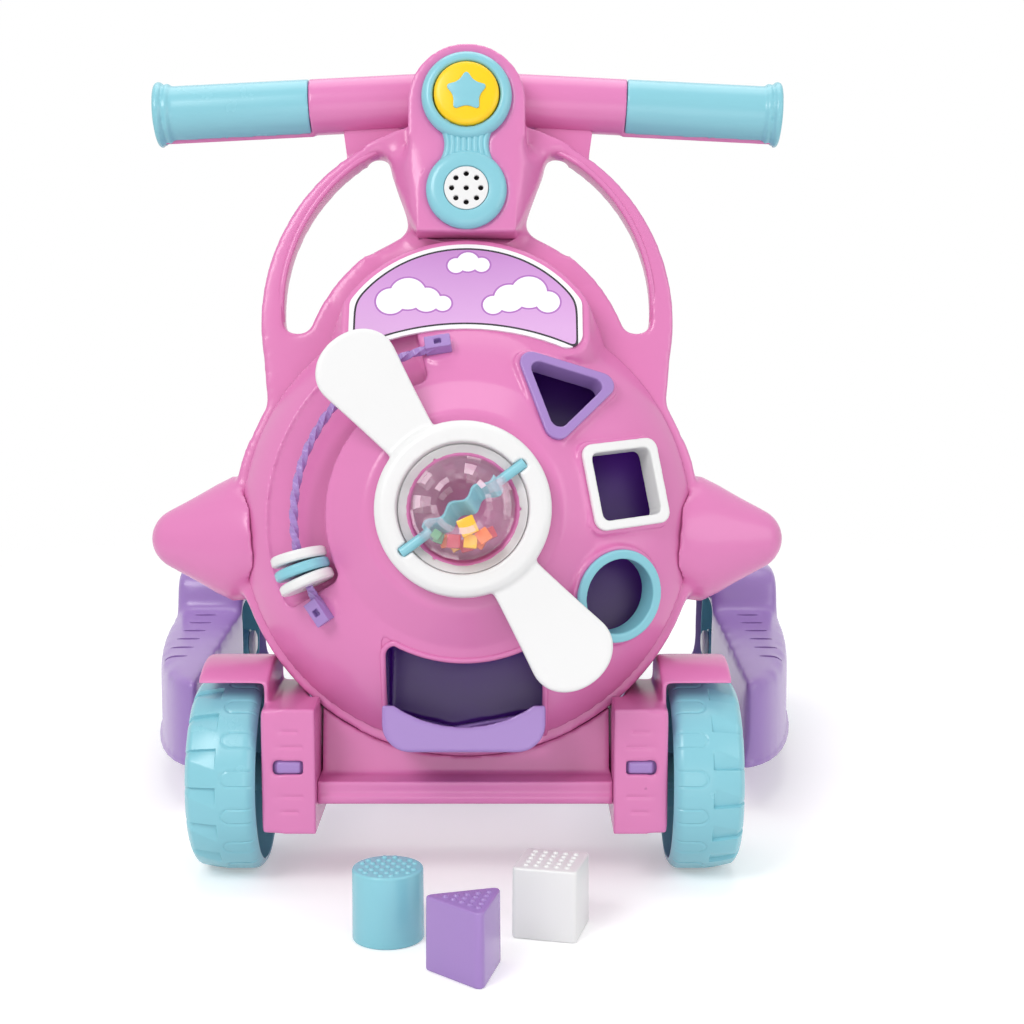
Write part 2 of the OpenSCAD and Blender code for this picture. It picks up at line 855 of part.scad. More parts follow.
module propeller() color(white) fascia() {
    difference() {
        union() {
            translate([0, 0, prop_w]) cylinder(r = prop_ring_r, h = prop_ring_t - 3);
            translate([0, 0, prop_w + prop_ring_t - 3])
                cylinder(r1 = prop_ring_r, r2 = prop_ring_r - 4, h = 3);
            for (turn = [0, 180])
                rotate(blade_angle + turn) translate([0, 0, prop_w + 3]) linear_extrude(blade_t)
                    blade_outline();
        }
        translate([0, 0, prop_w - 1]) cylinder(r = boss_r, h = far);
        translate([0, 0, retainer_w - 0.15]) cylinder(r = counter_r, h = far);
        for (turn = [0, 180])
            rotate(pin_angle + turn) translate([0, 0, ball_w]) {
                rotate([0, 90, 0]) cylinder(d = pin_d + 0.12, h = pin_reach + 0.5);
                translate([0, -pin_d / 2 - 0.06, 0]) cube([pin_reach + 0.5, pin_d + 0.12, far]);
            }
    }
}

module propeller_retainer() color(white) fascia() {
    translate([0, 0, retainer_w]) difference() {
        cylinder(r = counter_r - slide_gap, h = retainer_t);
        translate([0, 0, -1]) cylinder(r = boss_r - 3.2, h = far);
        for (a = [0:120:240]) rotate(a) translate([retainer_screw_r, 0, -1])
            cylinder(d = 1.8, h = far, $fn = 24);
    }
}

// Clear ball in two cups on its axle, with a wavy paddle and loose chips inside
module at_ball() {
    translate([0, 0, ball_w]) rotate([0, 0, pin_angle]) children();
}

module ball_cup() {
    difference() {
        sphere(r = ball_r);
        sphere(r = ball_r - ball_wall);
        translate([-far, -far, -far]) cube([2 * far, 2 * far, far]);
        rotate([0, 90, 0]) cylinder(d = pin_d + 0.1, h = far, center = true);
    }
}

module ball_front() color([0.9, 0.93, 1.0, 0.4]) fascia() at_ball() ball_cup();
module ball_back() color([0.9, 0.93, 1.0, 0.4]) fascia() at_ball() mirror([0, 0, 1]) ball_cup();

// Wavy ribbon between the two pins
module ball_axle() color(teal) fascia() at_ball() {
    ribbon_half = ball_r - ball_wall - 3;
    for (side = [-1, 1])
        rotate([0, side * 90, 0]) translate([0, 0, ribbon_half - 3])
            cylinder(d = pin_d, h = pin_reach - ribbon_half + 3);
    rotate([90 + ribbon_turn, 0, 0]) translate([0, 0, -ribbon_w / 2]) linear_extrude(ribbon_w)
        ribbon_outline(ribbon_half);
}

ribbon_turn = 38;
ribbon_w = 11;
ribbon_t = 2.4;
ribbon_wave = 3.4;

module ribbon_outline(half) {
    steps = 28;
    function edge(i, side) = let (x = -half + 2 * half * i / steps)
        [x, ribbon_wave * sin(540 * x / half) + side * ribbon_t / 2];
    polygon(concat([for (i = [0:steps]) edge(i, -1)], [for (i = [steps:-1:0]) edge(i, 1)]));
}

chip_r = 2.6;
chip_t = 2.2;
chip_gap = 0.45;
chip_step = 13.4;
chip_row_step = 16.5;

// Every fourth chip of three rows in the bottom of the ball
module chips(first) {
    row_length = 6;
    rows = 3;
    at_ball() rotate([0, 0, -pin_angle])
        for (i = [first:4:rows * row_length - 1])
            let (row = floor(i / row_length) - (rows - 1) / 2, k = i % row_length - (row_length - 1) / 2)
                rotate([row * chip_row_step, 0, k * chip_step])
                    translate([0, -(ball_r - ball_wall - chip_gap), 0]) rotate([-90, 0, 0])
                        cylinder(r = chip_r, h = chip_t, $fn = 24);
}

module chips_yellow() color(yellow) fascia() chips(0);
module chips_orange() color([0.98, 0.5, 0.12]) fascia() chips(1);
module chips_red() color([0.86, 0.12, 0.2]) fascia() chips(2);
module chips_green() color([0.4, 0.75, 0.3]) fascia() chips(3);

// Bead rail: square bar twisted along an arc, with a screwed tab at each end
module rail_bar() {
    steps = 56;
    turns = 5;
    corners = 4;
    half = rail_d / 2;
    function ring_point(i, k) = let (a = rail_top + (rail_bottom - rail_top) * i / steps,
        t = 360 * (turns * i / steps + k / corners),
        r = rail_r + half * cos(t)) [r * cos(a), r * sin(a), rail_w + half * sin(t)];
    points = [for (i = [0:steps], k = [0:corners - 1]) ring_point(i, k)];
    sides = [for (i = [0:steps - 1], k = [0:corners - 1]) let (n = (k + 1) % corners, p = i * corners)
        each [[p + k, p + n, p + corners + n], [p + k, p + corners + n, p + corners + k]]];
    first = [for (k = [1:corners - 2]) [0, k + 1, k]];
    last = [for (k = [1:corners - 2]) [0, k, k + 1] + steps * corners * [1, 1, 1]];
    polyhedron(points, concat(sides, first, last));
}

tab_w = 9;
tab_l = 15;
tab_h = 7;
tab_hole = 4;

module rail_tab(a) {
    on_dome(rail_r, a) translate([0, 0, pad_rise]) difference() {
        translate([-tab_w / 2, -tab_l / 2, 0]) cube([tab_w, tab_l, tab_h]);
        translate([-tab_hole / 2, -tab_hole / 2, tab_h - 4]) cube([tab_hole, tab_hole, far]);
    }
}

module bead_rail() color(purple) fascia() {
    rail_bar();
    rail_tab(rail_top);
    rail_tab(rail_bottom);
}

bead_bore_r = rail_d / 2 + slide_gap;
bead_low = rail_bottom - 10.5;

module bead(angle) {
    rotate([0, 0, angle]) translate([rail_r, 0, rail_w]) rotate([90, 0, 0]) difference() {
        union() {
            translate([0, 0, -bead_t / 2 + 1.2]) cylinder(r = bead_r, h = bead_t - 2.4);
            translate([0, 0, -bead_t / 2]) cylinder(r1 = bead_r - 1.2, r2 = bead_r, h = 1.2);
            translate([0, 0, bead_t / 2 - 1.2]) cylinder(r1 = bead_r, r2 = bead_r - 1.2, h = 1.2);
        }
        cylinder(r = bead_bore_r, h = far, center = true);
    }
}

module bead_upper() color(white) fascia() bead(bead_low - 2 * bead_pitch);
module bead_middle() color(teal) fascia() bead(bead_low - bead_pitch);
module bead_lower() color(white) fascia() bead(bead_low);

// Shape sorter: coloured rims with sleeves through the nose, and the bin with its tray
module sorter_ring(kind) {
    at_sorter(kind) difference() {
        union() {
            translate([0, 0, pad_rise]) linear_extrude(rim_t) sorter_outline(kind, rim_w);
            translate([0, 0, -sleeve_l]) linear_extrude(sleeve_l + pad_rise + rim_t)
                sorter_outline(kind, sleeve_t);
        }
        translate([0, 0, -far]) linear_extrude(2 * far) sorter_outline(kind, 0);
    }
}

module sorter_ring_triangle() color(purple) fascia() sorter_ring("triangle");
module sorter_ring_square() color(white) fascia() sorter_ring("square");
module sorter_ring_circle() color(teal) fascia() sorter_ring("circle");

bin_back = -back_t + shell_wall + 1;
bin_front = 29;
bin_in = boss_r + 23;
bin_out = rim_in - 1;
tray_corner = 16;

// Flat walls around the inside of the rim, from above the triangular hole down to the tray
module bin_outline() {
    walls = 6;
    left = -tray_half - 3;
    function wall_angle(i) = 74 - 28 * i;
    polygon(concat([for (i = [0:walls]) polar(bin_out, wall_angle(i))],
        [[left, -sqrt(bin_out * bin_out - left * left)], [left, -bin_in]],
        [for (i = [walls:-1:0]) polar(bin_in, wall_angle(i))]));
}

module bin_chute() {
    difference() {
        translate([0, 0, bin_back]) linear_extrude(bin_front - bin_back) bin_outline();
        translate([0, 0, bin_back + bin_wall]) linear_extrude(far) offset(delta = -bin_wall) bin_outline();
    }
}

// Side view of the tray: floor down from the bin, and walls that rise to the lip
module tray_profile(inset) {
    back = front_t + 2 * seam;
    low = -dome_r + 4;
    polygon([[back - (inset > 0 ? 5 : 0), low + 13 + inset], [back + 14, low + inset],
        [tray_reach - inset, low + inset], [tray_reach - inset, low + 26 + (inset > 0 ? far : 0)],
        [back - (inset > 0 ? 5 : 0), low + 26 + (inset > 0 ? far : 0)]]);
}

// Front view of the tray: upright walls with round lower corners
module tray_outline(inset) {
    half = tray_half - seam - inset;
    low = -dome_r + 4 + inset;
    corner = tray_corner - inset;
    translate([-half + corner, low]) square([2 * (half - corner), dome_r]);
    translate([-half, low + corner]) square([2 * half, dome_r]);
    for (side = [-1, 1]) translate([side * (half - corner), low + corner]) circle(r = corner);
}

module tray_form(inset) {
    intersection() {
        rotate([0, -90, 0]) translate([0, 0, -far]) linear_extrude(2 * far) tray_profile(inset);
        linear_extrude(far) tray_outline(inset);
    }
}

module tray() {
    scoop_r = 70;
    difference() {
        tray_form(0);
        tray_form(bin_wall);
        translate([0, -dome_r + 4 + lip_h + scoop_r, 0]) cylinder(r = scoop_r, h = far);
    }
}

module sorter_bin() color(purple) fascia() {
    bin_chute();
    tray();
}

// Front base: cradle under the nose, cross member and fenders
base_wall = 3;
member_lip = 1.5;
member_lip_h = 5;

module cradle() {
    translate([0, nose_y, nose_z]) rotate([90 - lean, 0, 0]) translate([0, 0, -back_t + 1])
        linear_extrude(back_t + front_t - 6) difference() {
            translate([-member_half + 1, -166]) square([2 * member_half - 2, 100]);
            circle(r = dome_r + seam);
        }
}

// Room in the housings for the round frame above them
module disc_clear() {
    translate([0, nose_y, nose_z]) rotate([90 - lean, 0, 0]) translate([0, 0, -far])
        cylinder(r = dome_r + slide_gap, h = far + front_t + slide_gap);
}

// Shallow curved plate over a front wheel, carried by a web on the housing's outer wall
fender_edge = wheel_d + 4;
web_half = 34;

module fender() {
    web_low = housing_top - 6;
    translate([0, 0, axle_z]) across(member_half + seam / 2 + housing_w - base_wall) difference() {
        cylinder(r = fender_r + fender_t, h = fender_w + base_wall);
        translate([0, 0, base_wall]) cylinder(r = fender_r, h = far);
        translate([axle_z - web_low, -far, -1]) cube([far, 2 * far, far]);
        translate([axle_z - fender_edge, -far, base_wall]) cube([far, 2 * far, far]);
        for (side = [0, 1]) mirror([0, side, 0])
            translate([axle_z - fender_edge, web_half, -1]) cube([far, far, far]);
    }
}

module front_base() color(pink) at_axle() {
    difference() {
        union() {
            intersection() {
                cradle();
                translate([-far, -far, member_z]) cube([2 * far, 2 * far, far]);
            }
            translate([-member_half, -member_front, member_z])
                cube([2 * member_half, 2 * member_front, 13]);
            translate([-member_half, -member_front - member_lip, member_z])
                cube([2 * member_half, 2 * (member_front + member_lip), member_lip_h]);
        }
        translate([-member_half + base_wall, -member_front + base_wall, member_z - 1])
            cube([2 * (member_half - base_wall), 2 * (member_front - base_wall), 11]);
        translate([0, 0, axle_z]) across(-far) cylinder(r = axle_d / 2 + slide_gap, h = 2 * far);
    }
}

// Engraved lines above and below the latch slot, the outer ones shorter
function mark_half(z) = abs(z - 6) > 20 ? 6 : 9;

module axle_housing() {
    inner = member_half + seam / 2;
    difference() {
        translate([inner, -housing_front, housing_z])
            cube([housing_w, housing_front + housing_back, housing_top - housing_z]);
        translate([inner + base_wall, -housing_front + base_wall, housing_z + base_wall])
            cube([housing_w - 2 * base_wall, far, housing_top - housing_z - 2 * base_wall]);
        translate([0, 0, axle_z]) across(inner - 1) cylinder(d = axle_d + 2 * run_fit, h = far);
        translate([inner + housing_w / 2 - 8.5, -far, rail_box_z + 5]) cube([17, far, 8]);
        for (z = [-18, -9, 20, 29])
            translate([inner + housing_w / 2 - mark_half(z), -housing_front - 1, rail_box_z + z])
                cube([2 * mark_half(z), 1.8, 2]);
        disc_clear();
    }
    difference() {
        fender();
        disc_clear();
    }
}

module axle_housing_right() color(pink) at_axle() axle_housing();
module axle_housing_left() color(pink) at_axle() mirror([1, 0, 0]) axle_housing();

// Axles and wheels: hollow mouldings that turn on fixed steel rods
hub_r = axle_d / 2 + 7;
tongue_depth = 0.9;
tongue_w = 9;
lug_notch = 12;
notch_slope = atan(2 * lug_depth / (wheel_w * 0.44));
cap_t = 5;

module front_axle() color(steel) at_axle() {
    half = front_track + wheel_w + cap_t - 1;
    translate([0, 0, axle_z]) across(-half) cylinder(d = axle_d, h = 2 * half);
}

// Tongue that runs in from the wheel's inner edge
module tongue_outline() {
    translate([-wheel_w * 0.36, -tongue_w / 2]) square([wheel_w * 0.36 - 3, tongue_w]);
    translate([-wheel_w * 0.36, 0]) circle(d = tongue_w, $fn = 32);
}

module wheel() {
    web = wheel_w * 0.55;
    difference() {
        union() {
            rotate_extrude($fn = 120) polygon([[hub_r, 0], [wheel_r - 6, 0], [wheel_r - 1, 2], [wheel_r, 8],
                [wheel_r, wheel_w * 0.5], [wheel_r - 2.5, wheel_w - 5], [wheel_r - 8, wheel_w],
                [hub_r, wheel_w]]);
            cylinder(r = hub_r + 0.5, h = wheel_w);
        }
        translate([0, 0, -1]) difference() {
            cylinder(r = wheel_r - wheel_wall - lug_depth, h = web + 1);
            cylinder(r = hub_r, h = far);
        }
        translate([0, 0, web + wheel_wall]) difference() {
            cylinder(r1 = wheel_r - 24, r2 = wheel_r - 14, h = wheel_w);
            translate([0, 0, -1]) cylinder(r = hub_r, h = far);
        }
        for (i = [0:lug_count - 1]) rotate(360 * i / lug_count) {
            translate([wheel_r - tongue_depth, 0, 0]) rotate([0, 90, 0])
                linear_extrude(far) tongue_outline();
            rotate(180 / lug_count) translate([wheel_r, 0, wheel_w * 0.56]) rotate([0, -notch_slope, 0])
                translate([0, -lug_notch / 2, 0]) cube([far, lug_notch, wheel_w]);
        }
        translate([0, 0, -1]) cylinder(d = axle_d + 2 * run_fit, h = far);
    }
}

module hub_cap() {
    difference() {
        union() {
            cylinder(r = hub_r - 1, h = cap_t - 1.5);
            translate([0, 0, cap_t - 1.5]) cylinder(r1 = hub_r - 1, r2 = hub_r - 4, h = 1.5);
        }
        translate([0, 0, -1]) cylinder(d = axle_d, h = cap_t);
    }
}

module at_front_wheel() {
    translate([0, 0, axle_z]) across(front_track) children();
}

module at_rear_wheel() {
    translate([0, wheelbase, axle_z]) across(rear_track) children();
}

module front_wheel_right() color(teal) at_axle() at_front_wheel() wheel();
module front_wheel_left() color(teal) at_axle() mirror([1, 0, 0]) at_front_wheel() wheel();
module rear_wheel_right() color(teal) at_axle() at_rear_wheel() wheel();
module rear_wheel_left() color(teal) at_axle() mirror([1, 0, 0]) at_rear_wheel() wheel();

module at_front_cap() {
    at_front_wheel() translate([0, 0, wheel_w + seam]) children();
}

module at_rear_cap() {
    at_rear_wheel() mirror([0, 0, 1]) translate([0, 0, seam]) children();
}

module front_hub_cap_right() color(white) at_axle() at_front_cap() hub_cap();
module front_hub_cap_left() color(white) at_axle() mirror([1, 0, 0]) at_front_cap() hub_cap();
module rear_hub_cap_right() color(white) at_axle() at_rear_cap() hub_cap();
module rear_hub_cap_left() color(white) at_axle() mirror([1, 0, 0]) at_rear_cap() hub_cap();

module rear_stub_axle() {
    at_rear_wheel() translate([0, 0, -cap_t + 1])
        cylinder(d = axle_d, h = pod_out - rear_track + cap_t - 1 - pod_wall);
}

module rear_stub_axle_right() color(steel) at_axle() rear_stub_axle();
module rear_stub_axle_left() color(steel) at_axle() mirror([1, 0, 0]) rear_stub_axle();

// Chassis: two rails that latch into the housings, a floor pan and the beam that carries seat and pods
rail_in = member_half + seam / 2 + base_wall + 1;
rail_front = -housing_front + base_wall + 1;
beam_front = wheelbase - 48;
beam_back = wheelbase + 48;
pan_front = 175;
pan_t = 6;
rail_top_z = rail_box_z + rail_box_h;

module chassis() color(purple) at_axle() {
    both_sides() {
        translate([rail_in, rail_front, rail_box_z]) cube([rail_box_w, beam_back - rail_front, rail_box_h]);
        translate([member_half + housing_w / 2 - 7, rail_front - 3.5, rail_box_z + 5.5]) cube([14, 4, 7]);
        translate([rail_in, beam_front, rail_box_z])
            cube([rail_box_w, beam_back - beam_front, beam_z - rail_box_z]);
    }
    translate([-rail_in - 1, pan_front, rail_top_z - pan_t])
        cube([2 * rail_in + 2, beam_front - pan_front, pan_t]);
    difference() {
        translate([-pod_in + seam, beam_front, beam_z - beam_t])
            cube([2 * (pod_in - seam), beam_back - beam_front, beam_t]);
        translate([-pod_in + 4, beam_front + 3, beam_z - beam_t - 1])
            cube([2 * (pod_in - 4), beam_back - beam_front - 6, beam_t - 2]);
    }
}

// Seat: saddle with a flat top, a low backrest and skirts down to the pan
seat_front = pan_front + 4;
seat_back = pod_rear;
seat_wall = 3;
seat_round = 26;
back_l = 75;

module seat_side() {
    polygon(concat(
        [[seat_front, rail_top_z + seam], [seat_front, seat_z - 40]],
        [for (i = [0:8]) [seat_front + 40 - 40 * cos(11.25 * i), seat_z - 40 + 40 * sin(11.25 * i)]],
        [for (i = [0:10]) [seat_back - back_l + 0.8 * back_l * i / 10,
            seat_z + (back_z - seat_z) * (1 - cos(18 * i)) / 2]],
        [for (i = [1:6]) [seat_back - 0.2 * back_l * (1 - sin(15 * i)),
            back_z - 0.2 * back_l * (1 - cos(15 * i))]],
        [[seat_back, beam_z + seam], [beam_front - 1, beam_z + seam],
            [beam_front - 1, rail_top_z + seam]]));
}

module seat_section(inset) {
    for (side = [-1, 1])
        translate([side * (seat_half - seat_round), seat_z - seat_round]) circle(r = seat_round - inset);
    translate([-seat_half + inset, 0]) square([2 * (seat_half - inset), seat_z - seat_round]);
    translate([-seat_half + seat_round, 0]) square([2 * (seat_half - seat_round), seat_z - inset]);
}

// Arched outline of the backrest
module back_section(inset) {
    steps = 24;
    half = seat_half - 4 - inset;
    low = seat_z - seat_round;
    rise = back_z - low - inset;
    polygon(concat([[-half, 0], [half, 0]],
        [for (i = [0:steps]) [half * cos(180 * i / steps), low + rise * sin(180 * i / steps)]]));
}

module seat_form(inset) {
    intersection() {
        rotate([90, 0, 90]) translate([0, 0, -far]) linear_extrude(2 * far)
            offset(delta = -inset) seat_side();
        rotate([90, 0, 0]) {
            translate([0, 0, -2 * far]) linear_extrude(3 * far) seat_section(inset);
            translate([0, 0, -2 * far])
                linear_extrude(2 * far - seat_back + back_l - inset) back_section(inset);
        }
    }
}

module seat() color(purple) at_axle() {
    difference() {
        seat_form(0);
        seat_form(seat_wall);
        translate([-seat_half + seat_wall, seat_front + seat_wall, rail_top_z - 5])
            cube([2 * (seat_half - seat_wall), beam_front - seat_front - 2 * seat_wall, 20]);
        translate([-seat_half + seat_wall, beam_front + 6, beam_z - 5])
            cube([2 * (seat_half - seat_wall), seat_back - beam_front - 10, 20]);
    }
}

// Foot pods: hollow step with grip slits in front of a fender over the rear wheel
pod_step_start = 108;
pod_lip = 3;

module pod_outline(inset) {
    steps = 12;
    w = pod_out - pod_in - 2 * inset;
    l = pod_fender_front + 30 - pod_step_start - inset;
    polygon(concat([[pod_in + inset, pod_rear - inset], [pod_in + inset, pod_step_start + inset + 8]],
        [for (i = [0:steps]) let (a = 90 * i / steps)
            [pod_in + inset + w * sin(a), pod_fender_front + 30 - l * cos(a)]],
        [[pod_out - inset, pod_rear - inset]]));
}

module pod_side(inset) {
    polygon([[pod_step_start - 10, 0], [pod_step_start - 10, step_front - inset],
        [pod_fender_front - 1 + inset, step_rear - inset], [pod_fender_front + inset, pod_top - 16 - inset],
        [pod_fender_front + 5 + inset, pod_top - 5 - inset], [pod_fender_front + 16 + inset, pod_top - inset],
        [pod_rear - 16, pod_top - inset], [pod_rear - 5 - inset, pod_top - 5 - inset],
        [pod_rear - inset, pod_top - 16 - inset], [pod_rear - inset, 0]]);
}

module pod_form(inset) {
    intersection() {
        translate([0, 0, pod_z]) linear_extrude(far) pod_outline(inset);
        rotate([90, 0, 90]) linear_extrude(far) pod_side(inset);
    }
}

module grip_slit() {
    intersection() {
        translate([0, -18, -5]) cylinder(r = 20, h = 10);
        translate([0, 18, -5]) cylinder(r = 20, h = 10);
    }
}

module footrest_pod() {
    slit_pitch = 24;
    difference() {
        union() {
            pod_form(0);
            translate([0, 0, pod_z]) linear_extrude(pod_lip) difference() {
                pod_outline(-pod_lip);
                translate([-far, -far]) square([far + pod_in, 3 * far]);
            }
        }
        difference() {
            translate([0, 0, -pod_wall]) pod_form(pod_wall);
            at_rear_wheel() translate([0, 0, wheel_w + seam]) cylinder(r = hub_r, h = far);
        }
        translate([pod_in + pod_wall, pod_step_start + pod_wall + 8, pod_z - 1])
            cube([10, pod_rear - pod_step_start - 2 * pod_wall - 8, 20]);
        translate([0, wheelbase, 0]) across(pod_in - 1) cylinder(r = wheel_r + 6, h = 10);
        translate([pod_in - 1, wheelbase - wheel_r - 6, 0])
            cube([wheel_w + 10, 2 * wheel_r + 12, axle_z + 40]);
        at_rear_wheel() cylinder(d = axle_d, h = pod_out - rear_track - pod_wall);
        for (i = [0:slit_count - 1])
            translate([pod_in + 26, 170 + i * slit_pitch, step_front + 4]) grip_slit();
    }
}

module footrest_pod_right() color(purple) at_axle() footrest_pod();
module footrest_pod_left() color(purple) at_axle() mirror([1, 0, 0]) footrest_pod();

// Loose sorting blocks, which stand on the floor in front
module block_top(side) {
    for (x = [-1:1], y = [-1:1])
        translate([x * side / 4, y * side / 4, block_h]) cylinder(r1 = 2.6, r2 = 1.8, h = 0.8, $fn = 24);
}

module block_cylinder() color(teal) at_axle() translate([-39, -119, 0]) {
    cylinder(d = block_d, h = block_h);
    block_top(block_d * 0.8);
}

module block_prism() color(purple)
    at_axle() translate([prism_place[0], prism_place[1], 0]) rotate(prism_turn) {
    linear_extrude(block_h) triangle_outline(block_triangle, prism_corner, $fn = 40);
}

module block_cube() color(white) at_axle() translate([48, -108, 0]) rotate(-14) {
    linear_extrude(block_h) square_outline(block_square, 3, $fn = 40);
    block_top(block_square);
}

nose_shell();
hoop_frame();
back_shell();
windscreen();
handlebar();
grip_left();
grip_right();
console_bezel();
button_cap();
button_star();
button_switch();
speaker_grille();
speaker();
circuit_board();
batteries();
battery_door();
propeller();
propeller_retainer();
ball_front();
ball_back();
ball_axle();
chips_yellow();
chips_orange();
chips_red();
chips_green();
bead_rail();
bead_upper();
bead_middle();
bead_lower();
sorter_ring_triangle();
sorter_ring_square();
sorter_ring_circle();
sorter_bin();
front_base();
axle_housing_left();
axle_housing_right();
front_axle();
front_wheel_left();
front_wheel_right();
front_hub_cap_left();
front_hub_cap_right();
chassis();
seat();
footrest_pod_left();
footrest_pod_right();
rear_stub_axle_left();
rear_stub_axle_right();
rear_wheel_left();
rear_wheel_right();
rear_hub_cap_left();
rear_hub_cap_right();
shell_screws();
block_cylinder();
block_prism();
block_cube();
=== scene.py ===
import json
import math

import bmesh
import bpy
from mathutils import Matrix, Vector


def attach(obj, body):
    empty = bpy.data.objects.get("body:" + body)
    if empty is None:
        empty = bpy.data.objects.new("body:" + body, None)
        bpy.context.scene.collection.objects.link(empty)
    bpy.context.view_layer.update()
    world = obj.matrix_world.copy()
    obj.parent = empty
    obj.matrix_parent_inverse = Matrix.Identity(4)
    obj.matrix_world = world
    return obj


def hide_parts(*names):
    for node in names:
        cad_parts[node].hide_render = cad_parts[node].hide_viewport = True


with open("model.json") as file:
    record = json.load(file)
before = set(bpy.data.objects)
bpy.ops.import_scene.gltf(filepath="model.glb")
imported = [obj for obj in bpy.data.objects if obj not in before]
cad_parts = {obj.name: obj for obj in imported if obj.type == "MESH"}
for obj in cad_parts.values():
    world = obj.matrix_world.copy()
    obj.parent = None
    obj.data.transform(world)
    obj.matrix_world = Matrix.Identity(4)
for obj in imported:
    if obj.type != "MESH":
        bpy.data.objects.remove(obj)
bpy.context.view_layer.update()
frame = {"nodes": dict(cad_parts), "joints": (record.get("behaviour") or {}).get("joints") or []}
scene = bpy.context.scene
scene.view_settings.view_transform = "Standard"

# Studio: a camera a metre in front of the toy, a little above its nose, on a plain white sweep.
# Soft lamps stand on each side of the camera and low behind it, and one hangs overhead.
CAMERA_PLACE = (0.027, -1.1185, 0.342)
CAMERA_TILT = 82.6
CAMERA_LENS = 59.77

camera = bpy.data.objects.new("camera", bpy.data.cameras.new("camera"))
camera.data.lens = CAMERA_LENS
camera.data.sensor_width = 36.0
camera.location = CAMERA_PLACE
camera.rotation_euler = (math.radians(CAMERA_TILT), 0.0, 0.0)
scene.collection.objects.link(camera)
scene.camera = camera


def soft_lamp(name, place, aim, size, power):
    """A square area lamp that points at a spot on the toy."""
    lamp = bpy.data.objects.new(name, bpy.data.lights.new(name, "AREA"))
    lamp.data.size = size
    lamp.data.energy = power
    lamp.location = place
    lamp.rotation_euler = (Vector(aim) - Vector(place)).to_track_quat("-Z", "Y").to_euler()
    scene.collection.objects.link(lamp)


NOSE_PLACE = (0.0, -0.12, 0.22)
soft_lamp("key_lamp", (-1.0, -1.5, 1.6), NOSE_PLACE, 0.9, 20.0)
soft_lamp("fill_lamp", (1.5, -1.1, 0.8), NOSE_PLACE, 1.2, 7.0)
soft_lamp("front_lamp", (0.1, -1.7, 0.2), NOSE_PLACE, 0.8, 3.0)
soft_lamp("top_lamp", (0.0, 0.4, 1.9), (0.0, 0.0, 0.1), 1.4, 11.0)


class Wire:
    """One shader socket that Python arithmetic can use."""

    def __init__(self, tree, socket):
        self.tree = tree
        self.socket = socket

    def node(self, kind, settings, inputs, output=0):
        """Adds a node, with its settings first and then the values or wires of its sockets."""
        made = self.tree.nodes.new(kind)
        for key, value in settings.items():
            setattr(made, key, value)
        for key, value in inputs.items():
            if isinstance(value, Wire):
                self.tree.links.new(value.socket, made.inputs[key])
            else:
                made.inputs[key].default_value = value
        return Wire(self.tree, made.outputs[output])

    def math(self, operation, *values):
        return self.node("ShaderNodeMath", {"operation": operation}, dict(enumerate(values)))

    def __add__(self, other):
        return self.math("ADD", self, other)

    def __sub__(self, other):
        return self.math("SUBTRACT", self, other)

    def __rsub__(self, other):
        return self.math("SUBTRACT", other, self)

    def __mul__(self, other):
        return self.math("MULTIPLY", self, other)

    def __pow__(self, other):
        return self.math("POWER", self, other)

    def __lt__(self, other):
        return self.math("LESS_THAN", self, other)

    def __gt__(self, other):
        return self.math("GREATER_THAN", self, other)

    __radd__ = __add__
    __rmul__ = __mul__

    def blend(self, first, second):
        """A colour that goes from the first to the second as this value goes from 0 to 1."""
        return self.node("ShaderNodeMix", {"data_type": "RGBA"}, {0: self, 6: first, 7: second}, 2)


def paint(red, green, blue):
    """A colour as a paint chart gives it, 0 to 255, for a shader socket."""
    share = [value / 255.0 for value in (red, green, blue)]
    return tuple(v / 12.92 if v <= 0.04045 else ((v + 0.055) / 1.055) ** 2.4 for v in share) + (1.0,)


def start_material(name):
    """A new material, with its surface shader and a wire of object coordinates."""
    material = bpy.data.materials.new(name)
    material.use_nodes = True
    tree = material.node_tree
    place = Wire(tree, tree.nodes.new("ShaderNodeTexCoord").outputs["Object"])
    return material, tree.nodes["Principled BSDF"], place


FLOOR_HALF = 3.0
FLOOR_CLEAR = 0.75
FLOOR_FADE = 0.6
FLOOR_GLOW = 0.3

floor_form = bmesh.new()
bmesh.ops.create_grid(floor_form, x_segments=8, y_segments=8, size=FLOOR_HALF)
floor_mesh = bpy.data.meshes.new("floor")
floor_form.to_mesh(floor_mesh)
floor_form.free()
floor = bpy.data.objects.new("floor", floor_mesh)
scene.collection.objects.link(floor)


def seen_rays(tree):
    """1 for what the camera sees, straight or through gloss and glass, and 0 for light that is bounced."""
    rays = tree.nodes.new("ShaderNodeLightPath")
    straight = Wire(tree, rays.outputs["Is Camera Ray"])
    mirrored = Wire(tree, rays.outputs["Is Glossy Ray"])
    through = Wire(tree, rays.outputs["Is Transmission Ray"])
    return straight + mirrored + through


floor_paint, shader, place = start_material("floor_paint")
seen = seen_rays(place.tree)
glow = seen.blend((0.0, 0.0, 0.0, 1.0), (FLOOR_GLOW, FLOOR_GLOW, FLOOR_GLOW, 1.0))
reach = place.node("ShaderNodeVectorMath", {"operation": "LENGTH"}, {0: place}, "Value")
edge = place.node("ShaderNodeMapRange", {"interpolation_type": "SMOOTHSTEP"},
                  {"Value": reach, "From Min": FLOOR_CLEAR, "From Max": FLOOR_CLEAR + FLOOR_FADE,
                   "To Min": 1.0, "To Max": 0.0})
shader.inputs["Base Color"].default_value = paint(240, 240, 240)
shader.inputs["Roughness"].default_value = 0.9
shader.inputs["Emission Strength"].default_value = 1.0
place.tree.links.new(glow.socket, shader.inputs["Emission Color"])
place.tree.links.new(edge.socket, shader.inputs["Alpha"])
floor_mesh.materials.append(floor_paint)

AMBIENT = 0.55

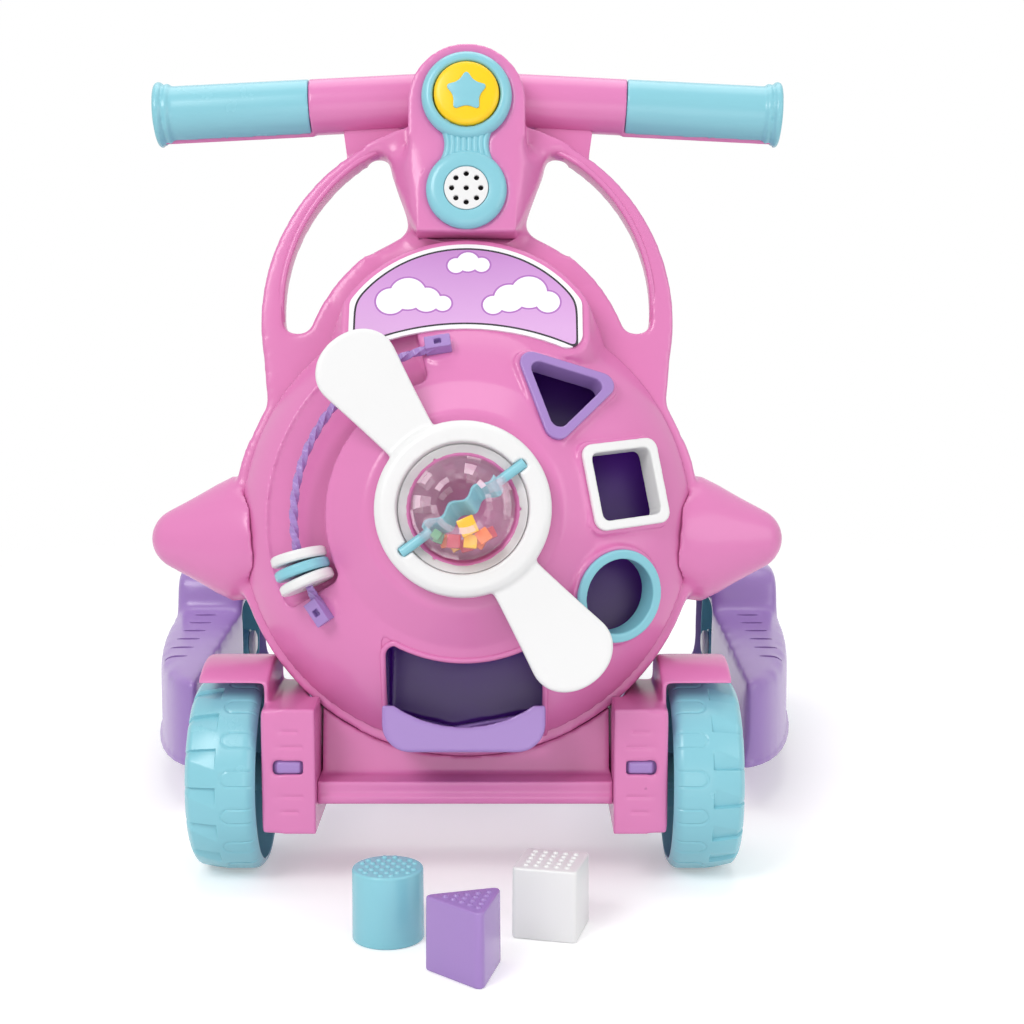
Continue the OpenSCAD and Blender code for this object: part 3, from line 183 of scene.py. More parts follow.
world = bpy.data.worlds.new("studio")
scene.world = world
world.use_nodes = True
ambient = seen_rays(world.node_tree) * (1.0 - AMBIENT) + AMBIENT
world.node_tree.links.new(ambient.socket, world.node_tree.nodes["Background"].inputs["Strength"])
world.node_tree.nodes["Background"].inputs["Color"].default_value = (1.0, 1.0, 1.0, 1.0)

# Nose and frame halves: satin pink mouldings that lean back and are screwed together from behind.
# Every edge has the moulder's radius, so the solids are relaxed into rounded copies.
MM = 0.001
BALL_HEIGHT = 95.0

joint = {row["name"]: row for row in frame["joints"]}
out = Vector(joint["propeller_spin"]["axis"]).normalized()
across = Vector((1.0, 0.0, 0.0))
front_axes = Matrix((across, out.cross(across), out)).transposed().to_4x4()
front_foot = Vector(joint["ball_spin"]["pos_m"]) - BALL_HEIGHT * MM * out
FRONT = Matrix.Translation(front_foot) @ front_axes @ Matrix.Scale(MM, 4)


def moulded(name, colour, gloss=0.25, grain=0.05):
    """Moulded plastic: even colour with faint flow marks, satin grain and a slightly uneven shine."""
    material, shader, place = start_material(name)
    flow = place.node("ShaderNodeTexNoise", {}, {"Vector": place, "Scale": 9.0, "Detail": 2.0})
    speck = place.node("ShaderNodeTexNoise", {}, {"Vector": place, "Scale": 1400.0, "Detail": 2.0})
    scuff = place.node("ShaderNodeTexNoise", {}, {"Vector": place, "Scale": 60.0, "Detail": 6.0})
    deep = tuple(channel * 0.93 for channel in colour[:3]) + (1.0,)
    tint = flow.blend(colour, deep)
    rough = gloss + (flow - 0.5) * 0.06 + (scuff - 0.5) * 0.04
    relief = speck.node("ShaderNodeBump", {}, {"Strength": grain, "Distance": 0.0004, "Height": speck})
    place.tree.links.new(tint.socket, shader.inputs["Base Color"])
    place.tree.links.new(rough.socket, shader.inputs["Roughness"])
    place.tree.links.new(relief.socket, shader.inputs["Normal"])
    shader.inputs["IOR"].default_value = 1.49
    return material


def join_toy(piece, finish, body, nodes=()):
    """Gives a piece its finish and its body, and hides the solids that it stands for."""
    piece.data.materials.clear()
    piece.data.materials.append(finish)
    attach(piece, body)
    if nodes:
        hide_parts(*nodes)


def soft_copy(node, voxel, rounds, finish, body="airframe", keep=0.5, fill=None):
    """A copy of a CAD solid with relaxed, moulded edges, which stands for the solid."""
    form = bmesh.new()
    form.from_mesh(frame["nodes"][node].data)
    if fill:
        fill(form)
    bmesh.ops.remove_doubles(form, verts=form.verts, dist=0.00001)
    mesh = bpy.data.meshes.new(node + "_moulding")
    form.to_mesh(mesh)
    form.free()
    piece = bpy.data.objects.new(node + "_moulding", mesh)
    scene.collection.objects.link(piece)
    remesh = piece.modifiers.new("remesh", "REMESH")
    remesh.mode = "VOXEL"
    remesh.voxel_size = voxel * MM
    relax = piece.modifiers.new("relax", "SMOOTH")
    relax.factor = 0.5
    relax.iterations = rounds
    thin = piece.modifiers.new("thin", "DECIMATE")
    thin.ratio = keep
    ready = piece.evaluated_get(bpy.context.evaluated_depsgraph_get())
    piece.data = bpy.data.meshes.new_from_object(ready)
    piece.modifiers.clear()
    piece.data.shade_smooth()
    join_toy(piece, finish, body, [node])
    return piece


def relax_more(piece, rounds, chosen):
    """Relaxes the edges of a piece further, at the points that a test picks."""
    form = bmesh.new()
    form.from_mesh(piece.data)
    picked = [vert for vert in form.verts if chosen(vert.co)]
    for _ in range(rounds):
        bmesh.ops.smooth_vert(form, verts=picked, factor=0.5,
                              use_axis_x=True, use_axis_y=True, use_axis_z=True)
    form.to_mesh(piece.data)
    form.free()


def finished(form, name, finish, body="airframe", nodes=(), crease=40.0):
    """A piece from a modelled form, smooth but for edges sharper than the crease angle."""
    mesh = bpy.data.meshes.new(name)
    form.to_mesh(mesh)
    form.free()
    mesh.shade_smooth()
    mesh.set_sharp_from_angle(angle=math.radians(crease))
    piece = bpy.data.objects.new(name, mesh)
    scene.collection.objects.link(piece)
    join_toy(piece, finish, body, nodes)
    return piece


pink_plastic = moulded("pink_plastic", paint(219, 126, 182))
soft_copy("nose_shell", 1.1, 7, pink_plastic, keep=0.35)
hoop = soft_copy("hoop_frame", 1.2, 9, pink_plastic, keep=0.4)
back = soft_copy("back_shell", 1.5, 6, pink_plastic, keep=0.4)

CONSOLE_HALF = 29.5
CONSOLE_LOW = 168.0
BAR_LOW = 228.0
STEM_HALF = 62.0
STEM_LOW = 135.0
STEM_ROUNDS = 60
HOOP_V = 121.0
HOOP_R = 124.0
GUSSET_IN = 39.0
GUSSET_LOW = BAR_LOW - 12.0
GUSSET_TOP = BAR_LOW + 19.0
GUSSET_W = 5.0
WING_ROUNDS = 16
to_front = FRONT.inverted()


def on_stem(spot):
    """True on the stem below the head, outside the pocket of the console."""
    u, v, _ = to_front @ spot
    return abs(u) < STEM_HALF and STEM_LOW < v < BAR_LOW and (abs(u) > CONSOLE_HALF or v < CONSOLE_LOW)


def on_wing(spot):
    """True on the wings and the outer parts of the hoop."""
    u, v, _ = to_front @ spot
    return abs(u) > STEM_HALF and v < BAR_LOW


# The gussets under the bar stand back from the face of the hoop.
for vert in hoop.data.vertices:
    u, v, w = to_front @ vert.co
    outside = math.hypot(u, v - HOOP_V) > HOOP_R
    if outside and abs(u) > GUSSET_IN and GUSSET_LOW < v < GUSSET_TOP:
        vert.co = FRONT @ Vector((u, v, min(w, GUSSET_W)))
relax_more(hoop, STEM_ROUNDS, on_stem)
relax_more(hoop, WING_ROUNDS, on_wing)

WING_ROOT = 128.0
WING_FULL = 141.0
WING_TIP = 190.0
WING_V = -9.0
WING_FLARE = 0.22
TIP_SHARE = 0.2

# The wings of both halves are widest just outside the rim.
for half in (hoop, back):
    for vert in half.data.vertices:
        u, v, w = to_front @ vert.co
        if abs(u) > WING_ROOT:
            rise = (abs(u) - WING_ROOT) / (WING_FULL - WING_ROOT)
            fall = (WING_TIP - abs(u)) / (WING_TIP - WING_FULL) + TIP_SHARE
            grow = min(rise, fall, 1.0)
            vert.co = FRONT @ Vector((u, WING_V + (v - WING_V) * (1.0 + WING_FLARE * grow), w))

# Lips on the nose and the hoop: a rolled edge round the tray opening, and a ridge along each grab opening.
# They are moulded with the pink shells, and stiffen their cut edges.
DOME_R = 138.0
DOME_DEPTH = 78.0
TRAY_HALF = 46.0
TRAY_R = 83.0
TRAY_LOW = -128.0
TRAY_CORNER = 7.0
LIP_R = 1.7
LIP_SINK = 0.4
SIDE_STEPS = 12
CORNER_STEPS = 7
ARC_STEPS = 24
WEB_WALL = 1.6


def dome_height(radius):
    """Height of the domed nose at a distance from its axis."""
    return DOME_DEPTH * math.sqrt(max(0.0, 1.0 - (radius / DOME_R) ** 2))


def on_dome(u, v, sink):
    """A point of the nose, a little below the face of its dome."""
    return (u, v, dome_height(math.hypot(u, v)) - sink)


def rolled_edge(name, points, radius, finish):
    """A round bead that follows a row of points on the leaning front."""
    curve = bpy.data.curves.new(name, "CURVE")
    curve.dimensions = "3D"
    curve.bevel_depth = radius
    curve.bevel_resolution = 4
    curve.use_fill_caps = True
    line = curve.splines.new("POLY")
    line.points.add(len(points) - 1)
    for spot, point in zip(line.points, points):
        spot.co = (*point, 1.0)
    path = bpy.data.objects.new(name + "_path", curve)
    mesh = bpy.data.meshes.new_from_object(path)
    bpy.data.objects.remove(path)
    mesh.name = name
    mesh.transform(FRONT)
    mesh.shade_smooth()
    piece = bpy.data.objects.new(name, mesh)
    scene.collection.objects.link(piece)
    join_toy(piece, finish, "airframe")


lip = []
arc_half = math.asin((TRAY_HALF - TRAY_CORNER) / TRAY_R)
corner_v = -TRAY_R * math.cos(arc_half) - TRAY_CORNER
for step in range(SIDE_STEPS + 1):
    lip.append(on_dome(-TRAY_HALF, TRAY_LOW + (corner_v - TRAY_LOW) * step / SIDE_STEPS, LIP_SINK))
for step in range(1, CORNER_STEPS):
    turn = math.radians(90.0 * step / CORNER_STEPS)
    corner_u = -TRAY_HALF + TRAY_CORNER * (1 - math.cos(turn))
    lip.append(on_dome(corner_u, corner_v + TRAY_CORNER * math.sin(turn), LIP_SINK))
for step in range(ARC_STEPS + 1):
    turn = -arc_half + 2 * arc_half * step / ARC_STEPS
    lip.append(on_dome(TRAY_R * math.sin(turn), -TRAY_R * math.cos(turn), LIP_SINK))
lip += [(-u, v, w) for u, v, w in reversed(lip[:SIDE_STEPS + CORNER_STEPS])]
rolled_edge("tray_opening_lip", lip, LIP_R, pink_plastic)

# A web closes the corner between the rolled edge and the shell on each side.
peak_u = TRAY_HALF + 1.0
peak_v = 1.0 - math.sqrt(TRAY_R ** 2 - TRAY_HALF ** 2)
corner_lip = lip[SIDE_STEPS - 1:SIDE_STEPS + CORNER_STEPS + 2]
for side, label in ((-1, "left"), (1, "right")):
    form = bmesh.new()
    peak = form.verts.new(on_dome(side * peak_u, peak_v, 2 * LIP_SINK))
    bend = [form.verts.new((side * abs(u), v, w - LIP_SINK)) for u, v, w in corner_lip]
    for pair in zip(bend, bend[1:]):
        form.faces.new((peak, *pair))
    bmesh.ops.recalc_face_normals(form, faces=form.faces)
    bmesh.ops.solidify(form, geom=form.faces[:], thickness=WEB_WALL)
    bmesh.ops.transform(form, matrix=FRONT, verts=form.verts)
    bmesh.ops.recalc_face_normals(form, faces=form.faces)
    finished(form, "tray_corner_" + label, pink_plastic)

HOOP_EDGE_V = 128.0
HOOP_EDGE_R = 111.5
RIDGE_TOP = 62.0
RIDGE_LOW = -4.0
RIDGE_W = 19.2
RIDGE_R = 1.9
RIDGE_SINK = 4.0
RIDGE_STEPS = 40
RIDGE_FADE = 6

for side, label in ((-1, "left"), (1, "right")):
    ridge = []
    for step in range(RIDGE_STEPS + 1):
        turn = math.radians(RIDGE_TOP + (RIDGE_LOW - RIDGE_TOP) * step / RIDGE_STEPS)
        from_end = min(step, RIDGE_STEPS - step)
        sink = RIDGE_SINK * max(0, RIDGE_FADE - from_end) / RIDGE_FADE
        ridge_u = side * HOOP_EDGE_R * math.cos(turn)
        ridge_v = HOOP_EDGE_V + HOOP_EDGE_R * math.sin(turn)
        ridge.append((ridge_u, ridge_v, RIDGE_W - sink))
    rolled_edge("hoop_ridge_" + label, ridge, RIDGE_R, pink_plastic)

# Battery door and shell screws: the door snaps into the back shell, the screws hold the halves together.
# The door is moulded like the shells, and the screws are zinc-plated steel.
soft_copy("battery_door", 0.6, 3, pink_plastic)


def metal(name, colour, gloss):
    """Plated steel with fine turning marks and a few dull patches."""
    material, shader, place = start_material(name)
    stretch = place.node("ShaderNodeMapping", {}, {"Vector": place, "Scale": (40.0, 900.0, 900.0)})
    mark = place.node("ShaderNodeTexNoise", {}, {"Vector": stretch, "Scale": 1.0, "Detail": 3.0})
    patch = place.node("ShaderNodeTexNoise", {}, {"Vector": place, "Scale": 70.0, "Detail": 4.0})
    dull = tuple(channel * 0.8 for channel in colour[:3]) + (1.0,)
    tint = patch.blend(colour, dull)
    rough = gloss + (mark - 0.5) * 0.15
    place.tree.links.new(tint.socket, shader.inputs["Base Color"])
    place.tree.links.new(rough.socket, shader.inputs["Roughness"])
    shader.inputs["Metallic"].default_value = 1.0
    return material


def dress(node, finish):
    """Gives a CAD solid that stays in view its own finish."""
    solid = frame["nodes"][node].data
    solid.materials.clear()
    solid.materials.append(finish)


steel = metal("steel", paint(190, 192, 196), 0.3)
dress("shell_screws", steel)

# Windscreen: a clear panel over a printed film, glued into a recess of the fairing.
# The film has a white margin, a black line and plain clouds on a lilac sky.
SCREEN_V = 109.0
SCREEN_LIFT = -0.5
SCREEN_PLACE = FRONT @ Vector((0.0, SCREEN_V, dome_height(SCREEN_V) + SCREEN_LIFT))
SCREEN_RAKE = 60.0
SCREEN_TOP_R = 0.079
SCREEN_TOP_V = -0.0225
SCREEN_LOW_R = 0.137
SCREEN_HALF = 0.068
SCREEN_CORNER = 0.006
MARGIN = 0.0026
LINE = 0.0012
PUFF_LINE = 0.0011
SKY_FADE = 17.0
PUFFS = ((-0.044, 0.018, 0.0085), (-0.034, 0.023, 0.0105), (-0.023, 0.019, 0.008), (-0.0135, 0.0165, 0.005),
         (-0.006, 0.042, 0.005), (0.001, 0.0445, 0.0065), (0.009, 0.0425, 0.0048),
         (0.016, 0.0155, 0.006), (0.0255, 0.02, 0.009), (0.037, 0.024, 0.0105), (0.048, 0.0175, 0.007))

screen_print, shader, place = start_material("screen_print")
flat = place.node("ShaderNodeMapping", {"vector_type": "TEXTURE"},
                  {"Vector": place, "Location": SCREEN_PLACE,
                   "Rotation": (math.radians(SCREEN_RAKE), 0.0, 0.0)})
u = flat.node("ShaderNodeSeparateXYZ", {}, {0: flat}, "X")
v = flat.node("ShaderNodeSeparateXYZ", {}, {0: flat}, "Y")


def away(u, v, centre_u, centre_v):
    """Distance of a point of the film from a centre."""
    along = u - centre_u
    up = v - centre_v
    return (along * along + up * up) ** 0.5


below_top = SCREEN_TOP_R - away(u, v, 0.0, SCREEN_TOP_V)
above_low = away(u, v, 0.0, -SCREEN_LOW_R) - SCREEN_LOW_R
from_side = SCREEN_HALF - u.math("ABSOLUTE", u)
inset = u.math("SMOOTH_MIN", below_top, above_low, SCREEN_CORNER)
inset = u.math("SMOOTH_MIN", inset, from_side, SCREEN_CORNER)
cloud = u * 0.0
rim = u * 0.0
for puff_u, puff_v, puff_r in PUFFS:
    gap = away(u, v, puff_u, puff_v)
    cloud = cloud.math("MAXIMUM", cloud, gap < puff_r)
    rim = rim.math("MAXIMUM", rim, gap < puff_r + PUFF_LINE)
sky = (v * SKY_FADE).blend(paint(216, 168, 220), paint(190, 128, 198))
picture = rim.blend(sky, paint(172, 108, 186))
picture = cloud.blend(picture, paint(250, 244, 252))
lined = (inset < MARGIN + LINE).blend(picture, paint(38, 30, 44))
printed = (inset < MARGIN).blend(lined, paint(242, 242, 244))
haze = place.node("ShaderNodeTexNoise", {}, {"Vector": place, "Scale": 35.0, "Detail": 3.0})
rough = 0.12 + haze * 0.1
place.tree.links.new(printed.socket, shader.inputs["Base Color"])
place.tree.links.new(rough.socket, shader.inputs["Roughness"])
shader.inputs["Coat Weight"].default_value = 0.5
dress("windscreen", screen_print)

# Handlebar and grips: a pink tube on each side of the head, with teal sleeves pushed over its cores.
# A spine of the pink core shows under each sleeve.
soft_copy("handlebar", 0.9, 4, pink_plastic, keep=0.3)
teal_plastic = moulded("teal_plastic", paint(134, 199, 213), 0.26)
soft_copy("grip_left", 0.8, 6, teal_plastic)
soft_copy("grip_right", 0.8, 6, teal_plastic)

# Console: one teal moulding with a puffy ring round the button, one round the speaker and a fluted neck.
# It drops into a pocket of the head, with a thin shadow gap all round.
LOBE_V = 252.0
RING_V = 195.0
CONSOLE_FOOT = 37.0
LOBE_PROFILE = ((20.1, 38.0), (20.1, 42.6), (20.5, 43.4), (21.6, 44.0), (23.2, 43.9), (24.9, 43.1),
                (26.2, 41.7), (26.9, 40.0), (27.0, 38.6), (26.2, CONSOLE_FOOT))
RING_PROFILE = ((13.3, 38.0), (13.3, 42.2), (13.7, 42.8), (15.4, 43.1), (18.6, 43.2), (20.8, 42.8),
                (22.5, 41.8), (23.6, 40.4), (24.0, 38.8), (23.3, CONSOLE_FOOT))
NECK_LOW = 208.0
NECK_HIGH = 237.0
NECK_HALF = 13.2
NECK_FLARE = 6.0
NECK_W = 40.6
NECK_DROP = 2.2
FLUTES = 8
FLUTE_DEPTH = 0.9


def turned(form, profile, centre, steps=96):
    """Adds a body of revolution, from points of radius and height, about an upright axis."""
    start = [form.verts.new((centre[0] + radius, centre[1], height)) for radius, height in profile]
    edges = [form.edges.new(pair) for pair in zip(start, start[1:])]
    bmesh.ops.spin(form, geom=start + edges, cent=(*centre, 0.0), axis=(0.0, 0.0, 1.0),
                   angle=math.tau, steps=steps, use_merge=True)


def drawn_out(form, faces):
    """Extrudes faces, and returns the points of their new end."""
    made = bmesh.ops.extrude_face_region(form, geom=faces)["geom"]
    return [item for item in made if isinstance(item, bmesh.types.BMVert)]


form = bmesh.new()
turned(form, LOBE_PROFILE, (0.0, LOBE_V))
turned(form, RING_PROFILE, (0.0, RING_V))
bmesh.ops.recalc_face_normals(form, faces=form.faces)
neck = bmesh.ops.create_grid(form, x_segments=96, y_segments=16, size=1.0)["verts"]
for vert in neck:
    side, along = vert.co.x, vert.co.y
    half = NECK_HALF + NECK_FLARE * along * along
    flute = FLUTE_DEPTH * abs(math.sin(math.pi * FLUTES * (side + 1.0) / 2.0))
    vert.co = (side * half, (NECK_LOW + NECK_HIGH) / 2 + along * (NECK_HIGH - NECK_LOW) / 2,
               NECK_W + flute - NECK_DROP * abs(side) ** 8)
neck = set(neck)
for vert in drawn_out(form, [face for face in form.faces if face.verts[0] in neck]):
    vert.co.z = CONSOLE_FOOT
bmesh.ops.transform(form, matrix=FRONT, verts=form.verts)
bmesh.ops.recalc_face_normals(form, faces=form.faces)
finished(form, "console_moulding", teal_plastic, nodes=["console_bezel"])

# Push button: a yellow cap that slides in the upper ring, with a teal star welded to its face.
# The star is a plain five-pointed shape with round tips.
CAP_PROFILE = ((0.0, 46.2), (8.0, 46.1), (15.5, 45.8), (18.0, 45.3), (19.1, 44.4), (19.4, 43.0), (19.4, 37.0))
STAR_R = 13.4
STAR_NECK = 0.58
STAR_ROUND = 3.0
STAR_FOOT = 45.2
STAR_TOP = 47.0
STAR_EDGE = 0.4

yellow_plastic = moulded("yellow_plastic", paint(255, 206, 0), 0.32)
form = bmesh.new()
turned(form, CAP_PROFILE, (0.0, LOBE_V))
bmesh.ops.remove_doubles(form, verts=form.verts, dist=0.0001)
bmesh.ops.holes_fill(form, edges=form.edges)
bmesh.ops.transform(form, matrix=FRONT, verts=form.verts)
bmesh.ops.recalc_face_normals(form, faces=form.faces)
finished(form, "button_face", yellow_plastic, "button", ["button_cap"])

form = bmesh.new()
tips = []
for point in range(10):
    turn = math.pi * point / 5
    radius = STAR_R if point % 2 == 0 else STAR_R * STAR_NECK
    tips.append(form.verts.new((radius * math.sin(turn), LOBE_V + radius * math.cos(turn), STAR_FOOT)))
form.faces.new(tips)
bmesh.ops.bevel(form, geom=form.verts[:], offset=STAR_ROUND, segments=5, profile=0.5,
                affect="VERTICES", material=-1)
for vert in drawn_out(form, form.faces[:]):
    vert.co.z = STAR_TOP
rim_edges = [edge for edge in form.edges if all(abs(vert.co.z - STAR_TOP) < 0.01 for vert in edge.verts)]
bmesh.ops.bevel(form, geom=rim_edges, offset=STAR_EDGE, segments=3, profile=0.5, affect="EDGES", material=-1)
bmesh.ops.transform(form, matrix=FRONT, verts=form.verts)
bmesh.ops.recalc_face_normals(form, faces=form.faces)
finished(form, "button_star_inlay", teal_plastic, "button", ["button_star"])

# Speaker grille: a white disc with nine sound holes, pressed into the lower ring.
# The speaker, the switch, the board and the cells sit out of sight in the head and the shells.
white_plastic = moulded("white_plastic", paint(232, 232, 232), 0.3)
soft_copy("speaker_grille", 0.3, 2, white_plastic)
dark_plastic = moulded("dark_plastic", paint(46, 38, 40), 0.5)
for name in ("speaker", "button_switch", "batteries"):
    dress(name, dark_plastic)

board, shader, place = start_material("board")
grid = place.node("ShaderNodeTexBrick", {}, {"Vector": place, "Scale": 220.0, "Color1": paint(26, 104, 62),
                                             "Color2": paint(22, 92, 54), "Mortar": paint(120, 150, 90)})
place.tree.links.new(grid.socket, shader.inputs["Base Color"])
shader.inputs["Roughness"].default_value = 0.45
dress("circuit_board", board)

# Propeller: a pillowy white moulding of a ring and two paddles, which turns on the nose's boss.
# A plate fixed to the boss keeps it on.
BLADE_ANGLE = 127.0
BLADE_START = 52.0
BLADE_TIP = 119.0
BLADE_FLARE = 0.2
PLATE_R = 35.6
PLATE_DISH = 0.62

prop = soft_copy("propeller", 0.8, 26, white_plastic, "propeller")
to_blade = Matrix.Rotation(math.radians(-BLADE_ANGLE), 4, "Z") @ to_front
from_blade = to_blade.inverted()
for vert in prop.data.vertices:
    along, wide, w = to_blade @ vert.co
    flare = BLADE_FLARE * max(0.0, abs(along) - BLADE_START) / (BLADE_TIP - BLADE_START)
    vert.co = from_blade @ Vector((along, wide * (1.0 + flare), w))
plate = soft_copy("propeller_retainer", 0.4, 3, white_plastic)
for vert in plate.data.vertices:
    u, v, w = to_front @ vert.co
    vert.co = FRONT @ Vector((u, v, w - PLATE_DISH * max(0.0, PLATE_R - math.hypot(u, v))))

# Rattle ball: two clear cups welded together, with two rings of flat facets round a flat lens.
# It turns on two teal pins, which carry a wavy paddle inside.
BALL_R = 29.0
PIN_ANGLE = 36.4
FACETS = 22
FACET_RADII = (29.0, 28.2, 25.6, 19.6, 13.2)
CUP_WALL = 1.4
FROST_GLINT_RINGS = (16.4, 22.6, 26.9)
FROST_GLINT_SHIFT = 40.0

clear_plastic, shader, place = start_material("clear_plastic")
BALL = FRONT @ Matrix.Translation((0.0, 0.0, BALL_HEIGHT))
BALL = BALL @ Matrix.Rotation(math.radians(PIN_ANGLE), 4, "Z")
facing = place.node("ShaderNodeLayerWeight", {}, {"Blend": 0.3}, "Facing")
cloudy = place.node("ShaderNodeTexNoise", {}, {"Vector": place, "Scale": 120.0, "Detail": 2.0})
inside = place.node("ShaderNodeMapping", {"vector_type": "TEXTURE"},
                    {"Vector": place, "Location": BALL.translation, "Rotation": BALL.to_euler(),
                     "Scale": (MM, MM, MM)})
along = inside.node("ShaderNodeSeparateXYZ", {}, {0: inside}, "X")
up = inside.node("ShaderNodeSeparateXYZ", {}, {0: inside}, "Y")
off_axis = (along * along + up * up) ** 0.5
# The facet rings outside the lens get a random, whiter veil facet by facet. It is partly frosting and partly
# painted glints, which stand in for light refracted by the facets.
ring = off_axis * 0.0
for radius in FROST_GLINT_RINGS:
    ring = ring + (off_axis > radius)
segment = up.math("ARCTAN2", up, along) * (FACETS / math.tau)
segment = segment.math("FLOOR", segment + FROST_GLINT_SHIFT)
spot = inside.node("ShaderNodeCombineXYZ", {}, {0: segment, 1: ring})
frost_glint = spot.node("ShaderNodeTexWhiteNoise", {"noise_dimensions": "2D"}, {"Vector": spot})
# Painted glints: random extra opacity of the white base on each outer facet.
frosted_glints = (off_axis > FACET_RADII[-1]) * (0.02 + frost_glint ** 4.0 * 0.45)
veil_with_glints = 0.012 + facing * 0.12 + cloudy * 0.02 + frosted_glints
shine = 0.03 + cloudy * 0.05
shader.inputs["Base Color"].default_value = paint(255, 220, 238)
place.tree.links.new(veil_with_glints.socket, shader.inputs["Alpha"])
place.tree.links.new(shine.socket, shader.inputs["Roughness"])
shader.inputs["Coat Weight"].default_value = 1.0
shader.inputs["IOR"].default_value = 1.58


def ball_cup(name, node, flip):
    """Half of the ball: a rim band, two rings of facets and a lens."""
    form = bmesh.new()
    outline = [(radius, math.sqrt(BALL_R ** 2 - radius ** 2)) for radius in FACET_RADII]
    turned(form, outline, (0.0, 0.0), FACETS)
    lens = [edge for edge in form.edges if all(vert.co.z > outline[-1][1] - 0.01 for vert in edge.verts)]
    bmesh.ops.holes_fill(form, edges=lens, sides=FACETS)
    bmesh.ops.recalc_face_normals(form, faces=form.faces)
    bmesh.ops.solidify(form, geom=form.faces[:], thickness=CUP_WALL)
    bmesh.ops.transform(form, matrix=BALL @ Matrix.Scale(flip, 4, (0.0, 0.0, 1.0)), verts=form.verts)
    bmesh.ops.recalc_face_normals(form, faces=form.faces)
    finished(form, name, clear_plastic, "rattle_ball", [node], crease=4.0)


ball_cup("ball_cup_front", "ball_front", 1.0)
ball_cup("ball_cup_back", "ball_back", -1.0)
soft_copy("ball_axle", 0.35, 5, teal_plastic, "rattle_ball")

# Chips: chunky bits of coloured plastic that lie in the bottom of the ball and rattle.
# Each is a small bevelled block, cut from bar.
CHIPS = {"yellow": (paint(255, 200, 30), ((3.0, -11.0, 9.0, 9.6, 24.0), (4.5, -19.0, 6.5, 7.4, -6.0),
                                          (-4.0, -19.5, -8.0, 7.0, 30.0))),
         "orange": (paint(250, 130, 60), ((11.5, -16.0, 7.0, 7.4, 35.0), (-9.0, -18.0, -4.0, 7.0, 10.0),
                                          (9.0, -18.0, -8.0, 7.0, -30.0))),
         "red": (paint(206, 64, 80), ((-4.6, -19.0, 7.0, 7.4, -3.0), (2.0, -20.5, -2.5, 7.0, 15.0),
                                      (15.0, -14.0, -1.0, 6.4, 25.0))),
         "green": (paint(96, 176, 130), ((-14.0, -15.5, 8.5, 5.0, -35.0), (-13.0, -17.0, 2.0, 5.4, -20.0),
                                         (-13.0, -14.5, -9.0, 6.4, 40.0)))}
CHIP_DEPTH = 0.7
CHIP_EDGE = 0.6

for label, (colour, chips) in CHIPS.items():
    form = bmesh.new()
    for u, v, w, size, turn in chips:
        stand = FRONT @ Matrix.Translation((u, v, BALL_HEIGHT + w))
        stand = stand @ Matrix.Rotation(math.radians(turn), 4, "Z")
        bmesh.ops.create_cube(form, size=size, matrix=stand @ Matrix.Diagonal((1.0, 1.0, CHIP_DEPTH, 1.0)))
    bmesh.ops.bevel(form, geom=form.edges[:], offset=CHIP_EDGE * MM, segments=2, profile=0.5,
                    affect="EDGES", material=-1)
    chip_plastic = moulded(label + "_chip_plastic", colour, 0.2)
    slot = label + "_plastic"
    finished(form, "chips_" + label + "_cut", chip_plastic, "rattle_ball", ["chips_" + label])

# Bead rail: a purple bar twisted along an arc, held to the nose by a tab at each end.
# Three discs slide along it, white, teal and white.
purple_plastic = moulded("purple_plastic", paint(161, 128, 194))
soft_copy("bead_rail", 0.4, 5, purple_plastic)
soft_copy("bead_upper", 0.4, 6, white_plastic, "upper_bead")
soft_copy("bead_middle", 0.4, 6, teal_plastic, "middle_bead")
soft_copy("bead_lower", 0.4, 6, white_plastic, "lower_bead")

# Shape sorter: three coloured rims that clip into the nose, over a purple bin that ends in a tray.
# Their edges are fully rounded for small hands.
soft_copy("sorter_ring_triangle", 0.45, 34, purple_plastic)
soft_copy("sorter_ring_square", 0.45, 34, white_plastic)
soft_copy("sorter_ring_circle", 0.45, 34, teal_plastic)
# The bin's colour goes from the plain purple at the tray lip to a deep saturated purple further in: painted
# shade inside the bin.
BIN_LIP_Y = -0.172
BIN_SHADE_DEEP_Y = -0.108

bin_plastic_painted_shade = moulded("bin_plastic_painted_shade", paint(161, 128, 194))
shader = bin_plastic_painted_shade.node_tree.nodes["Principled BSDF"]
tint = Wire(bin_plastic_painted_shade.node_tree, shader.inputs["Base Color"].links[0].from_socket)
place = Wire(bin_plastic_painted_shade.node_tree, bin_plastic_painted_shade.node_tree.nodes["Texture Coordinate"].outputs["Object"])
depth = place.node("ShaderNodeSeparateXYZ", {}, {0: place}, "Y")
deep = depth.node("ShaderNodeMapRange", {}, {"Value": depth, "From Min": BIN_LIP_Y, "From Max": BIN_SHADE_DEEP_Y})
# Painted shade: the base colour blends to deep purple away from the lip.
place.tree.links.new(deep.blend(tint, paint(98, 32, 162)).socket, shader.inputs["Base Color"])
soft_copy("sorter_bin", 1.0, 5, bin_plastic_painted_shade, keep=0.22)

# Front base and axle housings: pink mouldings under the nose that hold the front axle and the fenders.
# The chassis rails latch into the slots of the housings.
soft_copy("front_base", 1.0, 6, pink_plastic, keep=0.4)
HOUSING_X = 0.0915
HOUSING_FACE = 0.0125
HOUSING_ROUNDS = 24

for label in ("left", "right"):
    housing = soft_copy("axle_housing_" + label, 0.7, 5, pink_plastic, keep=0.3)
    relax_more(housing, HOUSING_ROUNDS, lambda spot: abs(abs(spot.x) - HOUSING_X) > HOUSING_FACE)

